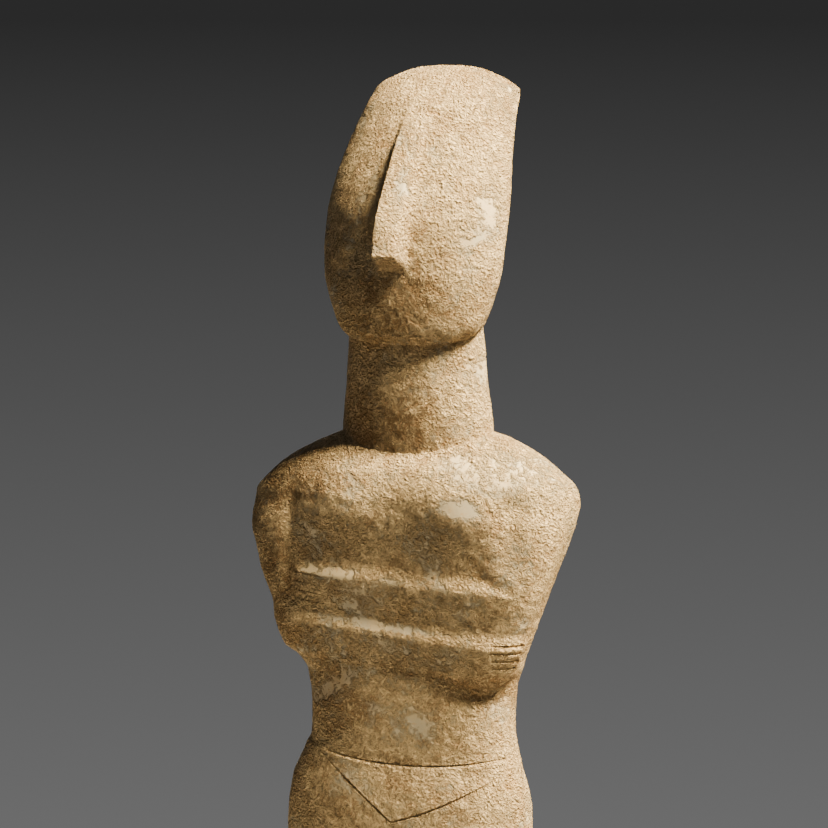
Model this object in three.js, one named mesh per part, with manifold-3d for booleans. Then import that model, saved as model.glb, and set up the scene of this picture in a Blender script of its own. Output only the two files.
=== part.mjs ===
// A marble figure with folded arms on a low stone base, in millimetres, +Z up.
// The figure looks along -Y and its own left side is +X. The origin is the centre of the base's underside.
import * as THREE from "three";
import { mergeVertices } from "three/addons/utils/BufferGeometryUtils.js";
import Module from "manifold-3d";

// Driving dimensions, in millimetres
const FIGURE_HEIGHT = 628;
const BASE_WIDTH = 180;
const BASE_DEPTH = 132;
const BASE_HEIGHT = 28;
const BASE_EDGE = 1.5;
const BASE_CORNER = 3;
const SEAT_DEPTH = 6;
const SEAT_GAP = 0.5;
const SEAT_FLOOR_GAP = 0.3;
const FIGURE_SET_BACK = 7;

// The carving is drawn in thousandths of the figure's height:
// x to its own left, f forward and z up from the toes.
const UNIT = FIGURE_HEIGHT / 1000;

// Columns of the carved skins: how many lie between the armpit lines and how many outside each line,
// in front and behind, and how far the pair of columns at each line is from it
const BODY_COLUMNS = { front: [13, 4], back: [6, 3], edge: 0.015 };
const HEAD_COLUMNS = { front: [8, 4], back: [4, 3], edge: 0.05 };
const NECK_ROWS = 7;

// Where the folded arms lie on the body, at its middle line
const ARM_TOP = 657.5;
const ARM_MIDDLE = 621;
const ARM_BOTTOM = 586;
const FINGERTIPS = -79;
const ARMPIT = 80;
const WIDEST_FLAT = 0.8;

// How far the arms stand out, what share is left in the crease between the forearms and under them,
// how long the slopes above each forearm's ridge and at its underside are, how even the fall between is, and
// what share of it the right upper arm stands out
const ARM_RELIEF = 3;
const RIGHT_ARM_SHARE = 0.35;
const ARM_CREASE = 0.3;
const ARM_FOOT = 0.15;
const ARM_SLOPE = 12;
const ARM_UNDERCUT = 4;
const ARM_FALL = 0.85;

// How much squarer than its back the front is over the belly and over the arms, and how softly that comes
// and goes: below the arms, and up over the chest
const BELLY_FLATNESS = 0.5;
const ARM_FLATNESS = 2;
const FLATNESS_BLEND = 12;
const FLATNESS_RISE = 52;

// Heights that the carving keeps to
const WAIST = 552;
const SHOULDER_LINE = 704;
const ARMPIT_LOW = 618;
const ARMPIT_TOP = 700;
const SHOULDER_FADE = 12;
const BREAST_LINE = 697;
const KNEE_LINE = 287;
const SEAT_LINE = 478;
const CALF_LINE = 190;
const BLADE_LINE = 690;
const HAND_UNDERSIDE = 578;

// The other swellings of the body: how far each stands out or is cut in
const BREAST = 4.5;
const BREAST_SIZE = [27, 28, 18];
const BREAST_CENTRES = [-40, 44];
const KNEE = 2.5;
const SEAT_CHEEK = 4;
const CALF = 2;
const SHOULDER_BLADE = 2.5;
const ARM_GROOVE = 2;
const FRONT_GROOVE = 1.1;
const LEFT_HOLLOW = 2.6;
const LEG_HOLLOW = 5;

// Where the incised lines run, how deep they are, and the shape of their V-shaped cut
const BELLY_LOW = [8, 520];
const BELLY_BEND = 0.0016;
const BELLY_ENDS = [-65, 76];
const APEX = [-2, 480.5];
const TRIANGLE_RIGHT = [-61, 526];
const TRIANGLE_LEFT = [72, 514];
const TRIANGLE_BOW = 4;
const SPINE_ENDS = [514, 728];
const WAIST_LINE = [66, 528];
const WAIST_BOW = 6;
const LINE_DEPTH = 1.6;
const FINGER_DEPTH = 1.8;
const LEFT_FINGERS = { tip: [-78, 654.5], wrist: -51, fall: -3, pitch: 5.9 };
const RIGHT_FINGERS = { tip: [88, 605.5], wrist: 74, fall: 1, pitch: 4.9 };
const TOE_DEPTH = 2.6;
const TOE_PITCH = 7.5;
const CLEFT_SHARE = 0.22;
const CLEFT_TOES = -14;
const CLEFT_FORK = 473;
const CLEFT_SEAT = 498;
const CLEFT_FADE = 120;
const CLEFT_FLANK = 0.42;
const GROOVE_FLANK = 0.8;
const GROOVE_PROUD = 2.5;

// Half widths and depths of the body at each height, as a carver's templates would give them:
// z, half width to its right and left, front, back, side line, tilt of the section, squareness
const BODY = [
  [0, 41, 41, 49, 24, 37, 0, 2.6],
  [8, 44, 44, 50, 13, 32, 0, 2.5],
  [20, 46, 46, 43, -3, 20, 0, 2.4],
  [35, 46, 46, 33, -19, 8, 0, 2.3],
  [50, 43, 43, 22, -26, -1, 0, 2.2],
  [66, 39, 39, 13, -27, -7, 0, 2.2],
  [85, 41, 41, 12, -28, -8, 0, 2.2],
  [120, 48, 48, 16, -32, -8, 0, 2.2],
  [160, 57, 57, 22, -36, -6, 0, 2.2],
  [200, 63, 63, 28, -36, -3, 0, 2.2],
  [232, 65, 65, 33, -31, 3, 0, 2.2],
  [262, 66, 66, 40, -24, 9, 0, 2.2],
  [288, 69, 69, 46, -20, 13, 0, 2.2],
  [320, 74, 74, 47, -21, 14, 0, 2.2],
  [360, 81, 81, 48, -25, 14, 0, 2.2],
  [400, 87, 87, 47, -29, 14, 0, 2.2],
  [440, 91, 91, 43, -33, 14, 0, 2.2],
  [473, 93, 90, 40.8, -36, 13, 0, 2.2],
  [490, 92, 89.5, 39.8, -36, 12, 0, 2.2],
  [507, 89, 85.5, 38.3, -35, 10, 0, 2.2],
  [520, 83, 80, 36.5, -34, 8, 0, 2.3],
  [535, 75.5, 76, 36.8, -33, 6, -0.03, 2.4],
  [552, 74.5, 74, 37.2, -33, 6, -0.05, 2.4],
  [575, 78, 75, 37.2, -34, 6, -0.08, 2.4],
  [585, 84.5, 77, 37.2, -35, 7, -0.08, 2.4],
  [590, 92, 79, 37.4, -36, 8, -0.08, 2.4],
  [603, 96.2, 84, 37.6, -36, 10, -0.08, 2.4],
  [621, 100.8, 90.5, 38, -37, 10, -0.085, 2.4],
  [640, 108.6, 98, 38.5, -38, 9, -0.07, 2.4],
  [657, 113, 105, 39, -38, 7, -0.05, 2.4],
  [680, 120.2, 115, 40.4, -38, 4, -0.02, 2.4],
  [693, 121.2, 119.5, 41, -37, 2, 0, 2.4],
  [704, 121, 121, 41, -36, 0, 0, 2.4],
  [714, 113, 118, 40, -35, 0, 0, 2.4],
  [724, 102, 107, 37.5, -34, 0, 0, 2.3],
  [734, 86, 94, 29.5, -33, 0, 0, 2.2],
  [745, 62, 72, 21.5, -30, 0, 0, 2.1],
  [753, 39, 46, 13, -22, 0, 0, 2],
];

// What the values of a row of BODY and NECK are
const VALUES = ["z", "right", "left", "front", "back", "side", "tilt", "square"];

// The rings of the body outside its arms: bands of even steps, as low end, high end and how many
const BODY_BANDS = [
  [0, 66, 7],
  [66, 262, 7],
  [262, 320, 4],
  [320, CLEFT_FORK, 5],
  [CLEFT_FORK, WAIST, 7],
  [WAIST, 580, 3],
  [580, 583, 1],
  [583, ARM_BOTTOM, 1],
  [ARM_TOP, ARM_TOP + 3, 1],
  [ARM_TOP + 3, ARM_TOP + 8, 1],
  [ARM_TOP + 8, 673, 1],
  [673, SHOULDER_LINE, 5],
  [SHOULDER_LINE, 745, 6],
  [745, 753, 1],
  [753, 754, 1],
];

// The neck is a slightly tapered drum that starts inside the shoulders and ends inside the head.
const NECK = [
  [700, 57, 57, 22, -26, 0, 0, 2.1],
  [718, 57, 57, 26, -33, 0, 0, 2.1],
  [735, 56, 56, 28.5, -36, 0, 0, 2.1],
  [755, 55, 55, 30, -36, 0, 0, 2.1],
  [780, 52, 52, 31, -34, 1, 0, 2.1],
  [807, 50, 50, 30.5, -31, 2, 0, 2.1],
  [850, 47, 47, 28, -20, 3, 0, 2.1],
];

// The head leans back, from the jaw's underside to the arched ridge of the crown. Each row is z at the side
// line, half width, side line, depth in front, depth behind, rise of the middle, pitch and squareness.
const HEAD = [
  [820, 30, 6, 15, 20, 0, 0.3, 2.2],
  [819, 45, 7, 23, 30, 0, 0.3, 2.2],
  [823, 51.5, 8, 26.5, 33, 0, 0.3, 2.2],
  [830, 55.5, 9, 28, 34, 0, 0.28, 2.2],
  [843, 60.5, 9, 29.5, 33, 0, 0.21, 2.2],
  [858, 65, 8, 31, 31, 0, 0.12, 2.2],
  [875, 66.5, 5, 33.7, 29, 0, 0.05, 2.2],
  [900, 67, -2, 37.5, 25, 0, 0, 2.2],
  [925, 64.5, -12, 37, 21, 0, 0, 2.2],
  [945, 61, -23, 37, 17, 2, 0, 2.2],
  [960, 58.5, -33, 36, 13, 4, 0, 2.2],
  [970, 57, -41, 34, 10, 7, 0, 2.2],
  [977.5, 55.5, -48, 28, 9, 10.5, 0, 2.2],
  [983, 54, -52, 18, 8, 13.6, 0, 2.3],
  [984.5, 49.5, -54, 8, 4, 15, 0, 2.3],
];
const HEAD_ROWS = 20;
const CROWN_ARCH = 2.6;

// The cheek on its right turns away more than the other one: what share less square the front is there, how
// much wider the head is on that side, and between which rows of the table that sets in
const CHEEK_SLANT = 0.32;
const CHEEK_WIDENING = 2;
const CHEEK_ROWS = [4, 6.5];

// The long nose, from the brow to its cut-off underside:
// z, half width at the face, half width of the ridge, how far forward the ridge is
const NOSE_MIDDLE = -1.3;
const NOSE_ROOT = 24;
const NOSE_FLANK = 4;
const NOSE = [
  [966, 7, 5.4, 1],
  [955, 8.2, 6.2, 10],
  [940, 9, 6.8, 22.5],
  [915, 10, 7.4, 38.5],
  [890, 10.8, 7.8, 51],
  [872, 11, 8, 58.5],
  [862, 9.5, 6.8, 42],
];

/** Value of one column of a template table at a height, by a monotone cubic through its rows. */
function along(table, column, at) {
  const last = table.length - 1;
  const x = Math.min(Math.max(at, table[0][0]), table[last][0]);
  let i = 0;
  while (i < last - 1 && x > table[i + 1][0]) i++;
  const slope = (k) => (table[k + 1][column] - table[k][column]) / (table[k + 1][0] - table[k][0]);
  const tangent = (k) => {
    if (k === 0) return slope(0);
    if (k === last) return slope(last - 1);
    const [a, b] = [slope(k - 1), slope(k)];
    return a * b <= 0 ? 0 : (2 * a * b) / (a + b);
  };
  const h = table[i + 1][0] - table[i][0];
  const t = (x - table[i][0]) / h;
  const [p, q] = [table[i][column], table[i + 1][column]];
  const rise = t * t * (3 - 2 * t);
  return p + (q - p) * rise + h * t * (1 - t) * ((1 - t) * tangent(i) - t * tangent(i + 1));
}

/** 0 before a, 1 past b, and a smooth step between them. */
function smooth(a, b, x) {
  const t = Math.min(Math.max((x - a) / (b - a), 0), 1);
  return t * t * (3 - 2 * t);
}

/** A rounded swelling of height 1 about the centre c. */
function swell(x, c, width) {
  return Math.exp(-(((x - c) / width) ** 2));
}

/** Share of its relief that a forearm has: it slopes from crease up to its ridge and falls to foot. */
function forearm(z, low, high, crease, foot) {
  if (z < low || z > high) return 0;
  const ridge = high - ARM_SLOPE;
  if (z > ridge) return 1 - (1 - crease) * smooth(ridge, high, z);
  return foot + (1 - foot) * ((z - low) / (ridge - low)) ** ARM_FALL;
}

/** Share of its relief that the upper forearm has at a height. It laps over the lower one. */
function upperForearm(z) {
  return forearm(z, ARM_MIDDLE, ARM_TOP, 0, ARM_CREASE);
}

/** Share of its relief that the lower forearm has at a height. */
function lowerForearm(z) {
  const undercut = smooth(ARM_BOTTOM, ARM_BOTTOM + ARM_UNDERCUT, z);
  return forearm(z, ARM_BOTTOM, ARM_MIDDLE, ARM_CREASE, ARM_FOOT) * undercut;
}

/** How far the folded arms stand out of the chest. */
function armRelief(x, z) {
  const upperArm = upperForearm(z);
  const lowerArm = lowerForearm(z);
  const towardsShoulder = 1 - 0.9 * smooth(ARM_TOP, SHOULDER_LINE + SHOULDER_FADE, z);
  const isUnderLeft = z < ARM_TOP - ARM_SLOPE;
  const isUnderRight = z < ARM_MIDDLE - ARM_SLOPE;
  const leftForearm = upperArm * smooth(FINGERTIPS - 3, FINGERTIPS + 6, x);
  const rightForearm = lowerArm * (0.75 + 0.45 * smooth(-70, 70, x));
  const leftArm = (isUnderLeft ? upperArm : towardsShoulder) * smooth(ARMPIT - 20, ARMPIT + 14, x);
  const rightSide = RIGHT_ARM_SHARE * (isUnderRight ? lowerArm : towardsShoulder);
  const rightArm = rightSide * smooth(ARMPIT, ARMPIT + 8, -x);
  return ARM_RELIEF * Math.max(leftForearm, rightForearm, leftArm, rightArm);
}

/** Carving on the front of the body: arms, breasts, armpit grooves, hollow under the hand, knees and legs. */
function frontRelief(x, z) {
  const [wide, above, below] = BREAST_SIZE;
  const acrossBreasts = swell(x, BREAST_CENTRES[0], wide) + swell(x, BREAST_CENTRES[1], wide);
  const breasts = BREAST * acrossBreasts * swell(z, BREAST_LINE, z > BREAST_LINE ? above : below);
  const armpitTop = 1 - smooth(ARMPIT_TOP, ARMPIT_TOP + 16, z);
  const groove = FRONT_GROOVE * swell(-x, ARMPIT, 6) * smooth(ARMPIT_LOW, ARMPIT_LOW + 10, z) * armpitTop;
  const hollow = LEFT_HOLLOW * swell(x, ARMPIT + 6, 10) * smooth(ARM_TOP - 6, ARM_TOP + 16, z) * armpitTop;
  const underHand = ARM_GROOVE * smooth(10, 70, x) * swell(z, HAND_UNDERSIDE, 8);
  const knees = KNEE * swell(Math.abs(x), 34, 17) * swell(z, KNEE_LINE, 17);
  const legs = LEG_HOLLOW * swell(x, 0, 17) * (1 - smooth(SEAT_LINE - 98, SEAT_LINE, z));
  return armRelief(x, z) + breasts - groove - hollow - underHand + knees - legs;
}

/** Carving on the back: seat, calves, shoulder blades, legs and the grooves between the arms and the back. */
function backRelief(x, z) {
  const side = Math.abs(x);
  const seat = SEAT_CHEEK * swell(side, 42, 24) * swell(z, SEAT_LINE, 30);
  const calves = CALF * swell(side, 32, 17) * swell(z, CALF_LINE, 40);
  const blades = SHOULDER_BLADE * swell(side, 48, 26) * swell(z, BLADE_LINE, 26);
  const shoulderEnd = 1 - smooth(SHOULDER_LINE - 24, SHOULDER_LINE, z);
  const elbowEnd = smooth(ARM_BOTTOM + 6, ARM_BOTTOM + 26, z);
  const grooves = ARM_GROOVE * swell(side, ARMPIT - 4, 5) * elbowEnd * shoulderEnd;
  const legs = LEG_HOLLOW * swell(x, 0, 17) * (1 - smooth(CLEFT_SEAT - 68, CLEFT_SEAT, z));
  return seat + calves + blades - grooves - legs;
}

/** Share of the half width at a turn. Turns up to a half are evenly spaced inside the armpit line. */
function shareAt(turn, half) {
  const edge = Math.min(ARMPIT / half, WIDEST_FLAT);
  const angle = Math.asin(edge) + (Math.PI / 2 - Math.asin(edge)) * (2 * Math.abs(turn) - 1);
  return Math.sign(turn) * (Math.abs(turn) < 0.5 ? 2 * Math.abs(turn) * edge : Math.sin(angle));
}

/** The turn at a distance x from the middle, the other way round. */
function turnAt(x, half) {
  const share = Math.min(Math.abs(x) / half, 0.999);
  const edge = Math.min(ARMPIT / half, WIDEST_FLAT);
  const outside = (Math.asin(share) - Math.asin(edge)) / (Math.PI / 2 - Math.asin(edge));
  return Math.sign(x) * (share < edge ? (0.5 * share) / edge : 0.5 + 0.5 * outside);
}

/** One point of a rounded section, at a turn from -1 (its right) to 1 (its left), in front or behind. */
function sectionPoint(turn, isFront, right, left, depth, square) {
  const half = turn < 0 ? right : left;
  const share = shareAt(turn, half);
  const rise = (1 - Math.abs(share) ** square) ** (1 / square) || 0;
  const f = (isFront ? 1 : -1) * depth * rise;
  const normal = new THREE.Vector2(
    (Math.sign(share) * Math.abs(share) ** (square - 1)) / half,
    ((isFront ? 1 : -1) * rise ** (square - 1)) / depth,
  ).normalize();
  return { x: half * share, f, rise, normal };
}

/** Numbers from low to high, in equal steps, without the last one. */
function steps(low, high, count) {
  return Array.from({ length: count }, (_, i) => low + ((high - low) * i) / count);
}

/** Turns from -1 to nearly 1, with a pair of columns at each armpit line. */
function halfRing([inside, outside], edge) {
  const between = steps(-0.5 + edge, 0.5 - edge, inside);
  const before = steps(-1, -0.5 - edge, outside);
  const after = steps(0.5 + edge, 1, outside);
  return [...before, -0.5 - edge, ...between, 0.5 - edge, ...after];
}

/** The turns of one closed ring: over the front from right to left, then over the back from left to right. */
function ringTurns({ front, back, edge }) {
  const over = halfRing(front, edge).map((turn) => [turn, true]);
  const under = halfRing(back, edge).map((turn) => [-turn, false]);
  return [...over, ...under];
}

/** A row of BODY or NECK at a height, as an object with named values. */
function template(table, z) {
  const value = (name) => along(table, VALUES.indexOf(name), z);
  return {
    right: value("right"),
    left: value("left"),
    front: value("front") - value("side"),
    back: value("side") - value("back"),
    side: value("side"),
    tilt: value("tilt"),
    square: value("square"),
  };
}

/** How much squarer than its back the front of the body is at a height. */
function flatness(z) {
  const belowArms = 1 - smooth(ARM_BOTTOM - FLATNESS_BLEND, ARM_BOTTOM + FLATNESS_BLEND, z);
  const belowChest = 1 - smooth(ARM_TOP - FLATNESS_BLEND, ARM_TOP + FLATNESS_RISE, z);
  const belly = BELLY_FLATNESS * smooth(BELLY_LOW[1] - FLATNESS_BLEND, WAIST, z) * belowArms;
  return belly + ARM_FLATNESS * (1 - belowArms) * belowChest;
}

/** Place on the carved body at a template height, and the way out of it. grow widens the section. */
function bodyPlace(z, turn, isFront, grow = 0) {
  const t = template(BODY, z);
  const square = isFront ? t.square + flatness(z) : t.square;
  const p = sectionPoint(turn, isFront, t.right, t.left, isFront ? t.front : t.back, square);
  const relief = isFront ? frontRelief(p.x, z) : backRelief(p.x, z);
  const out = relief * smooth(0, 0.5, p.rise) + grow;
  const at = [p.x + p.normal.x * out, t.side + p.f + p.normal.y * out, z + t.tilt * p.x];
  return { at, outward: p.normal };
}

/** Point of the carved body at a template height. */
function bodyPoint(z, turn, isFront, grow) {
  return bodyPlace(z, turn, isFront, grow).at;
}

/** Point of the plain neck at a height. */
function neckPoint(z, turn, isFront) {
  const t = template(NECK, z);
  const p = sectionPoint(turn, isFront, t.right, t.left, isFront ? t.front : t.back, t.square);
  return [p.x, t.side + p.f, z];
}

/** Point of the head. row counts through the rows of HEAD, with fractions between them. */
function headPoint(row, turn, isFront) {
  const byRow = HEAD.map((values, i) => [i, ...values]);
  const values = HEAD[0].map((_, i) => along(byRow, i + 1, row));
  const [z, half, side, front, back, rise, pitch, square] = values;
  const cheek = turn < 0 ? smooth(CHEEK_ROWS[0], CHEEK_ROWS[1], row) : 0;
  const wide = half + CHEEK_WIDENING * cheek;
  const p = isFront
    ? sectionPoint(turn, true, wide, wide, front, square * (1 - CHEEK_SLANT * cheek))
    : sectionPoint(turn, false, wide, wide, back, square);
  const f = side + p.f;
  return [p.x, f, z + rise * (1 - Math.abs(p.x / wide) ** CROWN_ARCH) - pitch * f];
}

/** Distance between two points. */
function span(p, q) {
  return Math.hypot(p[0] - q[0], p[1] - q[1], p[2] - q[2]);
}

/** Geometry in millimetres from rings of [x, f, z] points in thousandths, closed by a fan at each end. */
function skin(rings) {
  const count = rings[0].length;
  const middle = (ring) => [0, 1, 2].map((k) => ring.reduce((sum, p) => sum + p[k], 0) / count);
  const points = [middle(rings[0]), ...rings.flat(), middle(rings.at(-1))];
  const top = points.length - 1;
  const at = (ring, i) => 1 + ring * count + (i % count);
  const faces = [];
  for (let i = 0; i < count; i++) {
    faces.push(0, at(0, i + 1), at(0, i));
    for (let r = 0; r + 1 < rings.length; r++) {
      const [a, b, c, d] = [at(r, i), at(r, i + 1), at(r + 1, i + 1), at(r + 1, i)];
      const isShorter = span(points[b], points[d]) < span(points[a], points[c]);
      faces.push(...(isShorter ? [a, b, d, b, c, d] : [a, b, c, a, c, d]));
    }
    faces.push(top, at(rings.length - 1, i), at(rings.length - 1, i + 1));
  }
  const geometry = new THREE.BufferGeometry();
  const coordinates = points.flatMap(([x, f, z]) => [x * UNIT, -f * UNIT, z * UNIT]);
  geometry.setAttribute("position", new THREE.Float32BufferAttribute(coordinates, 3));
  geometry.setIndex(faces);
  return geometry;
}

/** Heights that follow a forearm: close together at its underside and over its ridge. */
function armRows(low, high) {
  const ridge = high - ARM_SLOPE;
  const fall = [0.45, 0.75].map((share) => low + ARM_UNDERCUT + (ridge - low - ARM_UNDERCUT) * share);
  return [low, low + ARM_UNDERCUT, ...fall, ridge, ridge + 0.35 * ARM_SLOPE, ridge + 0.7 * ARM_SLOPE];
}

/** Heights of the body's rings, from the toes up. */
function bodyRows() {
  const arms = [...armRows(ARM_BOTTOM, ARM_MIDDLE), ...armRows(ARM_MIDDLE, ARM_TOP)];
  const bands = BODY_BANDS.flatMap(([low, high, count]) => steps(low, high, count));
  const rows = [...bands, ...arms].sort((a, b) => a - b);
  return rows.filter((z, i) => i === 0 || z - rows[i - 1] > 0.5);
}

/** The place on the carved front or back at a distance x from the middle and a true height z. */
function onBody(x, z, isFront = true) {
  let row = z;
  for (let i = 0; i < 3; i++) row = z - template(BODY, row).tilt * x;
  const t = template(BODY, row);
  const { at, outward } = bodyPlace(row, turnAt(x, x < 0 ? t.right : t.left), isFront);
  return { point: new THREE.Vector3(at[0], at[1], z), outward: new THREE.Vector3(outward.x, outward.y, 0) };
}

/** A V-shaped cutter. line gives [x, z] for a share of its length on the body, and cut the depth there. */
function groove(line, count, cut, isFront = true, flank = GROOVE_FLANK) {
  const place = (s) => onBody(...line(Math.min(Math.max(s, 0), 1)), isFront);
  const ring = (s) => {
    const { point, outward } = place(s);
    const forward = place(s + 0.01).point.sub(place(s - 0.01).point).normalize();
    outward.addScaledVector(forward, -outward.dot(forward)).normalize();
    const side = new THREE.Vector3().crossVectors(forward, outward);
    const corner = (up, across) => {
      return point.clone().addScaledVector(outward, up).addScaledVector(side, across).toArray();
    };
    const depth = cut(s);
    const wide = flank * (depth + GROOVE_PROUD);
    return [corner(-depth, 0), corner(GROOVE_PROUD, wide), corner(GROOVE_PROUD, -wide)];
  };
  return skin([...steps(0, 1, count), 1].map(ring));
}

/** A straight line between two [x, z] places, as a function of the share of its length. */
function straight([x0, z0], [x1, z1], bow = 0) {
  return (s) => [x0 + (x1 - x0) * s, z0 + (z1 - z0) * s - 4 * bow * s * (1 - s)];
}

/** Four cuts that part the five fingers of one hand, from the topmost one's tip towards the wrist. */
function fingerCuts({ tip: [tipX, tipZ], wrist, fall, pitch }) {
  const cut = (s) => FINGER_DEPTH * (1 - 0.65 * s);
  const tips = [0, 1, 2, 3].map((i) => tipZ - i * pitch);
  return tips.map((z) => groove(straight([tipX, z], [wrist, z + fall]), 3, cut));
}

/** Four cuts that part the toes of one foot. outer is 1 for its left foot and -1 for its right. */
function toeCuts(outer) {
  const cut = (s) => TOE_DEPTH * (1 - 0.7 * s);
  const tips = [0, 1, 2, 3].map((i) => outer * (12 + i * TOE_PITCH));
  return tips.map((x) => groove(straight([x, -6], [x * 0.96, 22]), 3, cut));
}

/** The incised line that bounds the belly below, its ends higher than its middle. */
function bellyLine(s) {
  const x = BELLY_ENDS[0] + (BELLY_ENDS[1] - BELLY_ENDS[0]) * s;
  return [x, BELLY_LOW[1] + BELLY_BEND * (x - BELLY_LOW[0]) ** 2];
}

/** The two lines of the triangle below the belly, drawn as one, with their meeting point at the middle. */
function triangleLine(s) {
  const right = straight(TRIANGLE_RIGHT, APEX);
  const left = straight(APEX, TRIANGLE_LEFT, TRIANGLE_BOW);
  return s < 0.5 ? right(2 * s) : left(2 * s - 1);
}

/** The cleft between the legs, up to a given height, in front or behind. */
function legCleft(top, topX, isFront) {
  const height = (s) => CLEFT_TOES + (top - CLEFT_TOES) * s;
  const thickness = (z) => template(BODY, z).front + template(BODY, z).back;
  const depth = (z) => LINE_DEPTH + CLEFT_SHARE * thickness(z) * (1 - smooth(top - CLEFT_FADE, top, z));
  const line = straight([0, CLEFT_TOES], [topX, top]);
  return groove(line, 11, (s) => depth(height(s)), isFront, CLEFT_FLANK);
}

/** Every incised line and cleft of the body. */
function incisions() {
  const fading = (s) => LINE_DEPTH * (0.2 + 0.8 * Math.min(1, 5 * s, 5 * (1 - s)));
  return [
    groove(bellyLine, 10, fading),
    groove(triangleLine, 8, fading),
    groove(straight([0, SPINE_ENDS[0]], [0, SPINE_ENDS[1]]), 5, fading, false),
    groove(straight([-WAIST_LINE[0], WAIST_LINE[1]], WAIST_LINE, WAIST_BOW), 6, fading, false),
    legCleft(CLEFT_FORK, -1, true),
    legCleft(CLEFT_SEAT, 0, false),
    ...fingerCuts(LEFT_FINGERS),
    ...fingerCuts(RIGHT_FINGERS),
    ...toeCuts(1),
    ...toeCuts(-1),
  ];
}

const wasm = await Module();
wasm.setup();

/** A closed geometry as a solid that can be joined and cut. */
function solid(geometry) {
  geometry.deleteAttribute("normal");
  geometry.deleteAttribute("uv");
  const merged = mergeVertices(geometry, 1e-4);
  const vertProperties = merged.getAttribute("position").array;
  const triVerts = new Uint32Array(merged.index.array);
  return new wasm.Manifold(new wasm.Mesh({ numProp: 3, vertProperties, triVerts }));
}

/** A solid back as a geometry. */
function geometryOf(made) {
  const mesh = made.getMesh();
  const geometry = new THREE.BufferGeometry();
  geometry.setAttribute("position", new THREE.BufferAttribute(mesh.vertProperties, 3));
  geometry.setIndex(new THREE.BufferAttribute(mesh.triVerts, 1));
  geometry.computeVertexNormals();
  return geometry;
}

/** The body from the toes to the root of the neck. */
function bodySkin() {
  const turns = ringTurns(BODY_COLUMNS);
  return skin(bodyRows().map((z) => turns.map(([turn, isFront]) => bodyPoint(z, turn, isFront))));
}

/** The neck between the shoulders and the head. */
function neckSkin() {
  const turns = ringTurns(HEAD_COLUMNS);
  const [low, high] = [NECK[0][0], NECK.at(-1)[0]];
  const heights = [...steps(low, high, NECK_ROWS), high];
  return skin(heights.map((z) => turns.map(([turn, isFront]) => neckPoint(z, turn, isFront))));
}

/** The head without its nose. */
function headSkin() {
  const turns = ringTurns(HEAD_COLUMNS);
  const rows = [...steps(0, HEAD.length - 1, HEAD_ROWS), HEAD.length - 1];
  return skin(rows.map((row) => turns.map(([turn, isFront]) => headPoint(row, turn, isFront))));
}

/** The nose, a long wedge with a rounded ridge, whose root lies inside the face. */
function noseSkin() {
  const ring = ([z, foot, ridge, top]) => {
    const flank = (foot + ridge) / 2 + 0.6;
    const half = [
      [foot, top - NOSE_ROOT],
      [flank, top - NOSE_FLANK],
      [ridge, top - 0.2 * NOSE_FLANK],
    ];
    const right = half.map(([x, f]) => [NOSE_MIDDLE - x, f, z]);
    const left = half.map(([x, f]) => [NOSE_MIDDLE + x, f, z]).reverse();
    return [...right, [NOSE_MIDDLE, top, z], ...left];
  };
  return skin([...NOSE].reverse().map(ring));
}

/** The whole figure, carved in one piece. */
function figurineGeometry() {
  let figure = solid(bodySkin());
  for (const skinOf of [neckSkin, headSkin, noseSkin]) figure = figure.add(solid(skinOf()));
  for (const cutter of incisions()) figure = figure.subtract(solid(cutter));
  return geometryOf(figure);
}

/** The toes grown by the gaps, up to above the base. It cuts the seat, and is placed as the figure is. */
function seatCutter() {
  const turns = ringTurns(BODY_COLUMNS);
  const ring = (z) => turns.map(([turn, isFront]) => bodyPoint(z, turn, isFront, SEAT_GAP / UNIT));
  const rings = bodyRows().filter((z) => z * UNIT < 3 * SEAT_DEPTH).map(ring);
  const floor = rings[0].map(([x, f, z]) => [x, f, z - SEAT_FLOOR_GAP / UNIT]);
  return skin([floor, ...rings]);
}

/** The base: a slab with softened edges and a seat cut to the toes. */
function baseGeometry() {
  const [w, d, r] = [BASE_WIDTH / 2, BASE_DEPTH / 2, BASE_CORNER];
  const outline = new THREE.Shape();
  outline.moveTo(r - w, -d);
  outline.lineTo(w - r, -d);
  outline.absarc(w - r, r - d, r, -Math.PI / 2, 0);
  outline.absarc(w - r, d - r, r, 0, Math.PI / 2);
  outline.absarc(r - w, d - r, r, Math.PI / 2, Math.PI);
  outline.absarc(r - w, r - d, r, Math.PI, 1.5 * Math.PI);
  const slab = new THREE.ExtrudeGeometry(outline, {
    depth: BASE_HEIGHT - 2 * BASE_EDGE,
    curveSegments: 4,
    bevelThickness: BASE_EDGE,
    bevelSize: BASE_EDGE,
    bevelOffset: -BASE_EDGE,
    bevelSegments: 1,
  });
  slab.translate(0, 0, BASE_EDGE);
  const seat = seatCutter().translate(0, FIGURE_SET_BACK, BASE_HEIGHT - SEAT_DEPTH);
  return geometryOf(solid(slab).subtract(solid(seat)));
}

/** Weathered marble under a warm, grainy crust. */
function marbleMaterial() {
  return new THREE.MeshStandardMaterial({ color: 0xcdb48c, roughness: 0.8, metalness: 0 });
}

/** Plain grey limestone, rubbed smooth. */
function stoneMaterial() {
  return new THREE.MeshStandardMaterial({ color: 0x8c8a84, roughness: 0.7, metalness: 0 });
}

/** The figure, standing in the base's seat. */
function figurinePart() {
  const mesh = new THREE.Mesh(figurineGeometry(), marbleMaterial());
  mesh.name = "figurine";
  mesh.position.set(0, FIGURE_SET_BACK, BASE_HEIGHT - SEAT_DEPTH);
  return mesh;
}

/** The base, with its underside at height 0. */
function basePart() {
  const mesh = new THREE.Mesh(baseGeometry(), stoneMaterial());
  mesh.name = "base";
  return mesh;
}

const part = new THREE.Group();
part.add(figurinePart(), basePart());

export default part;
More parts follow.
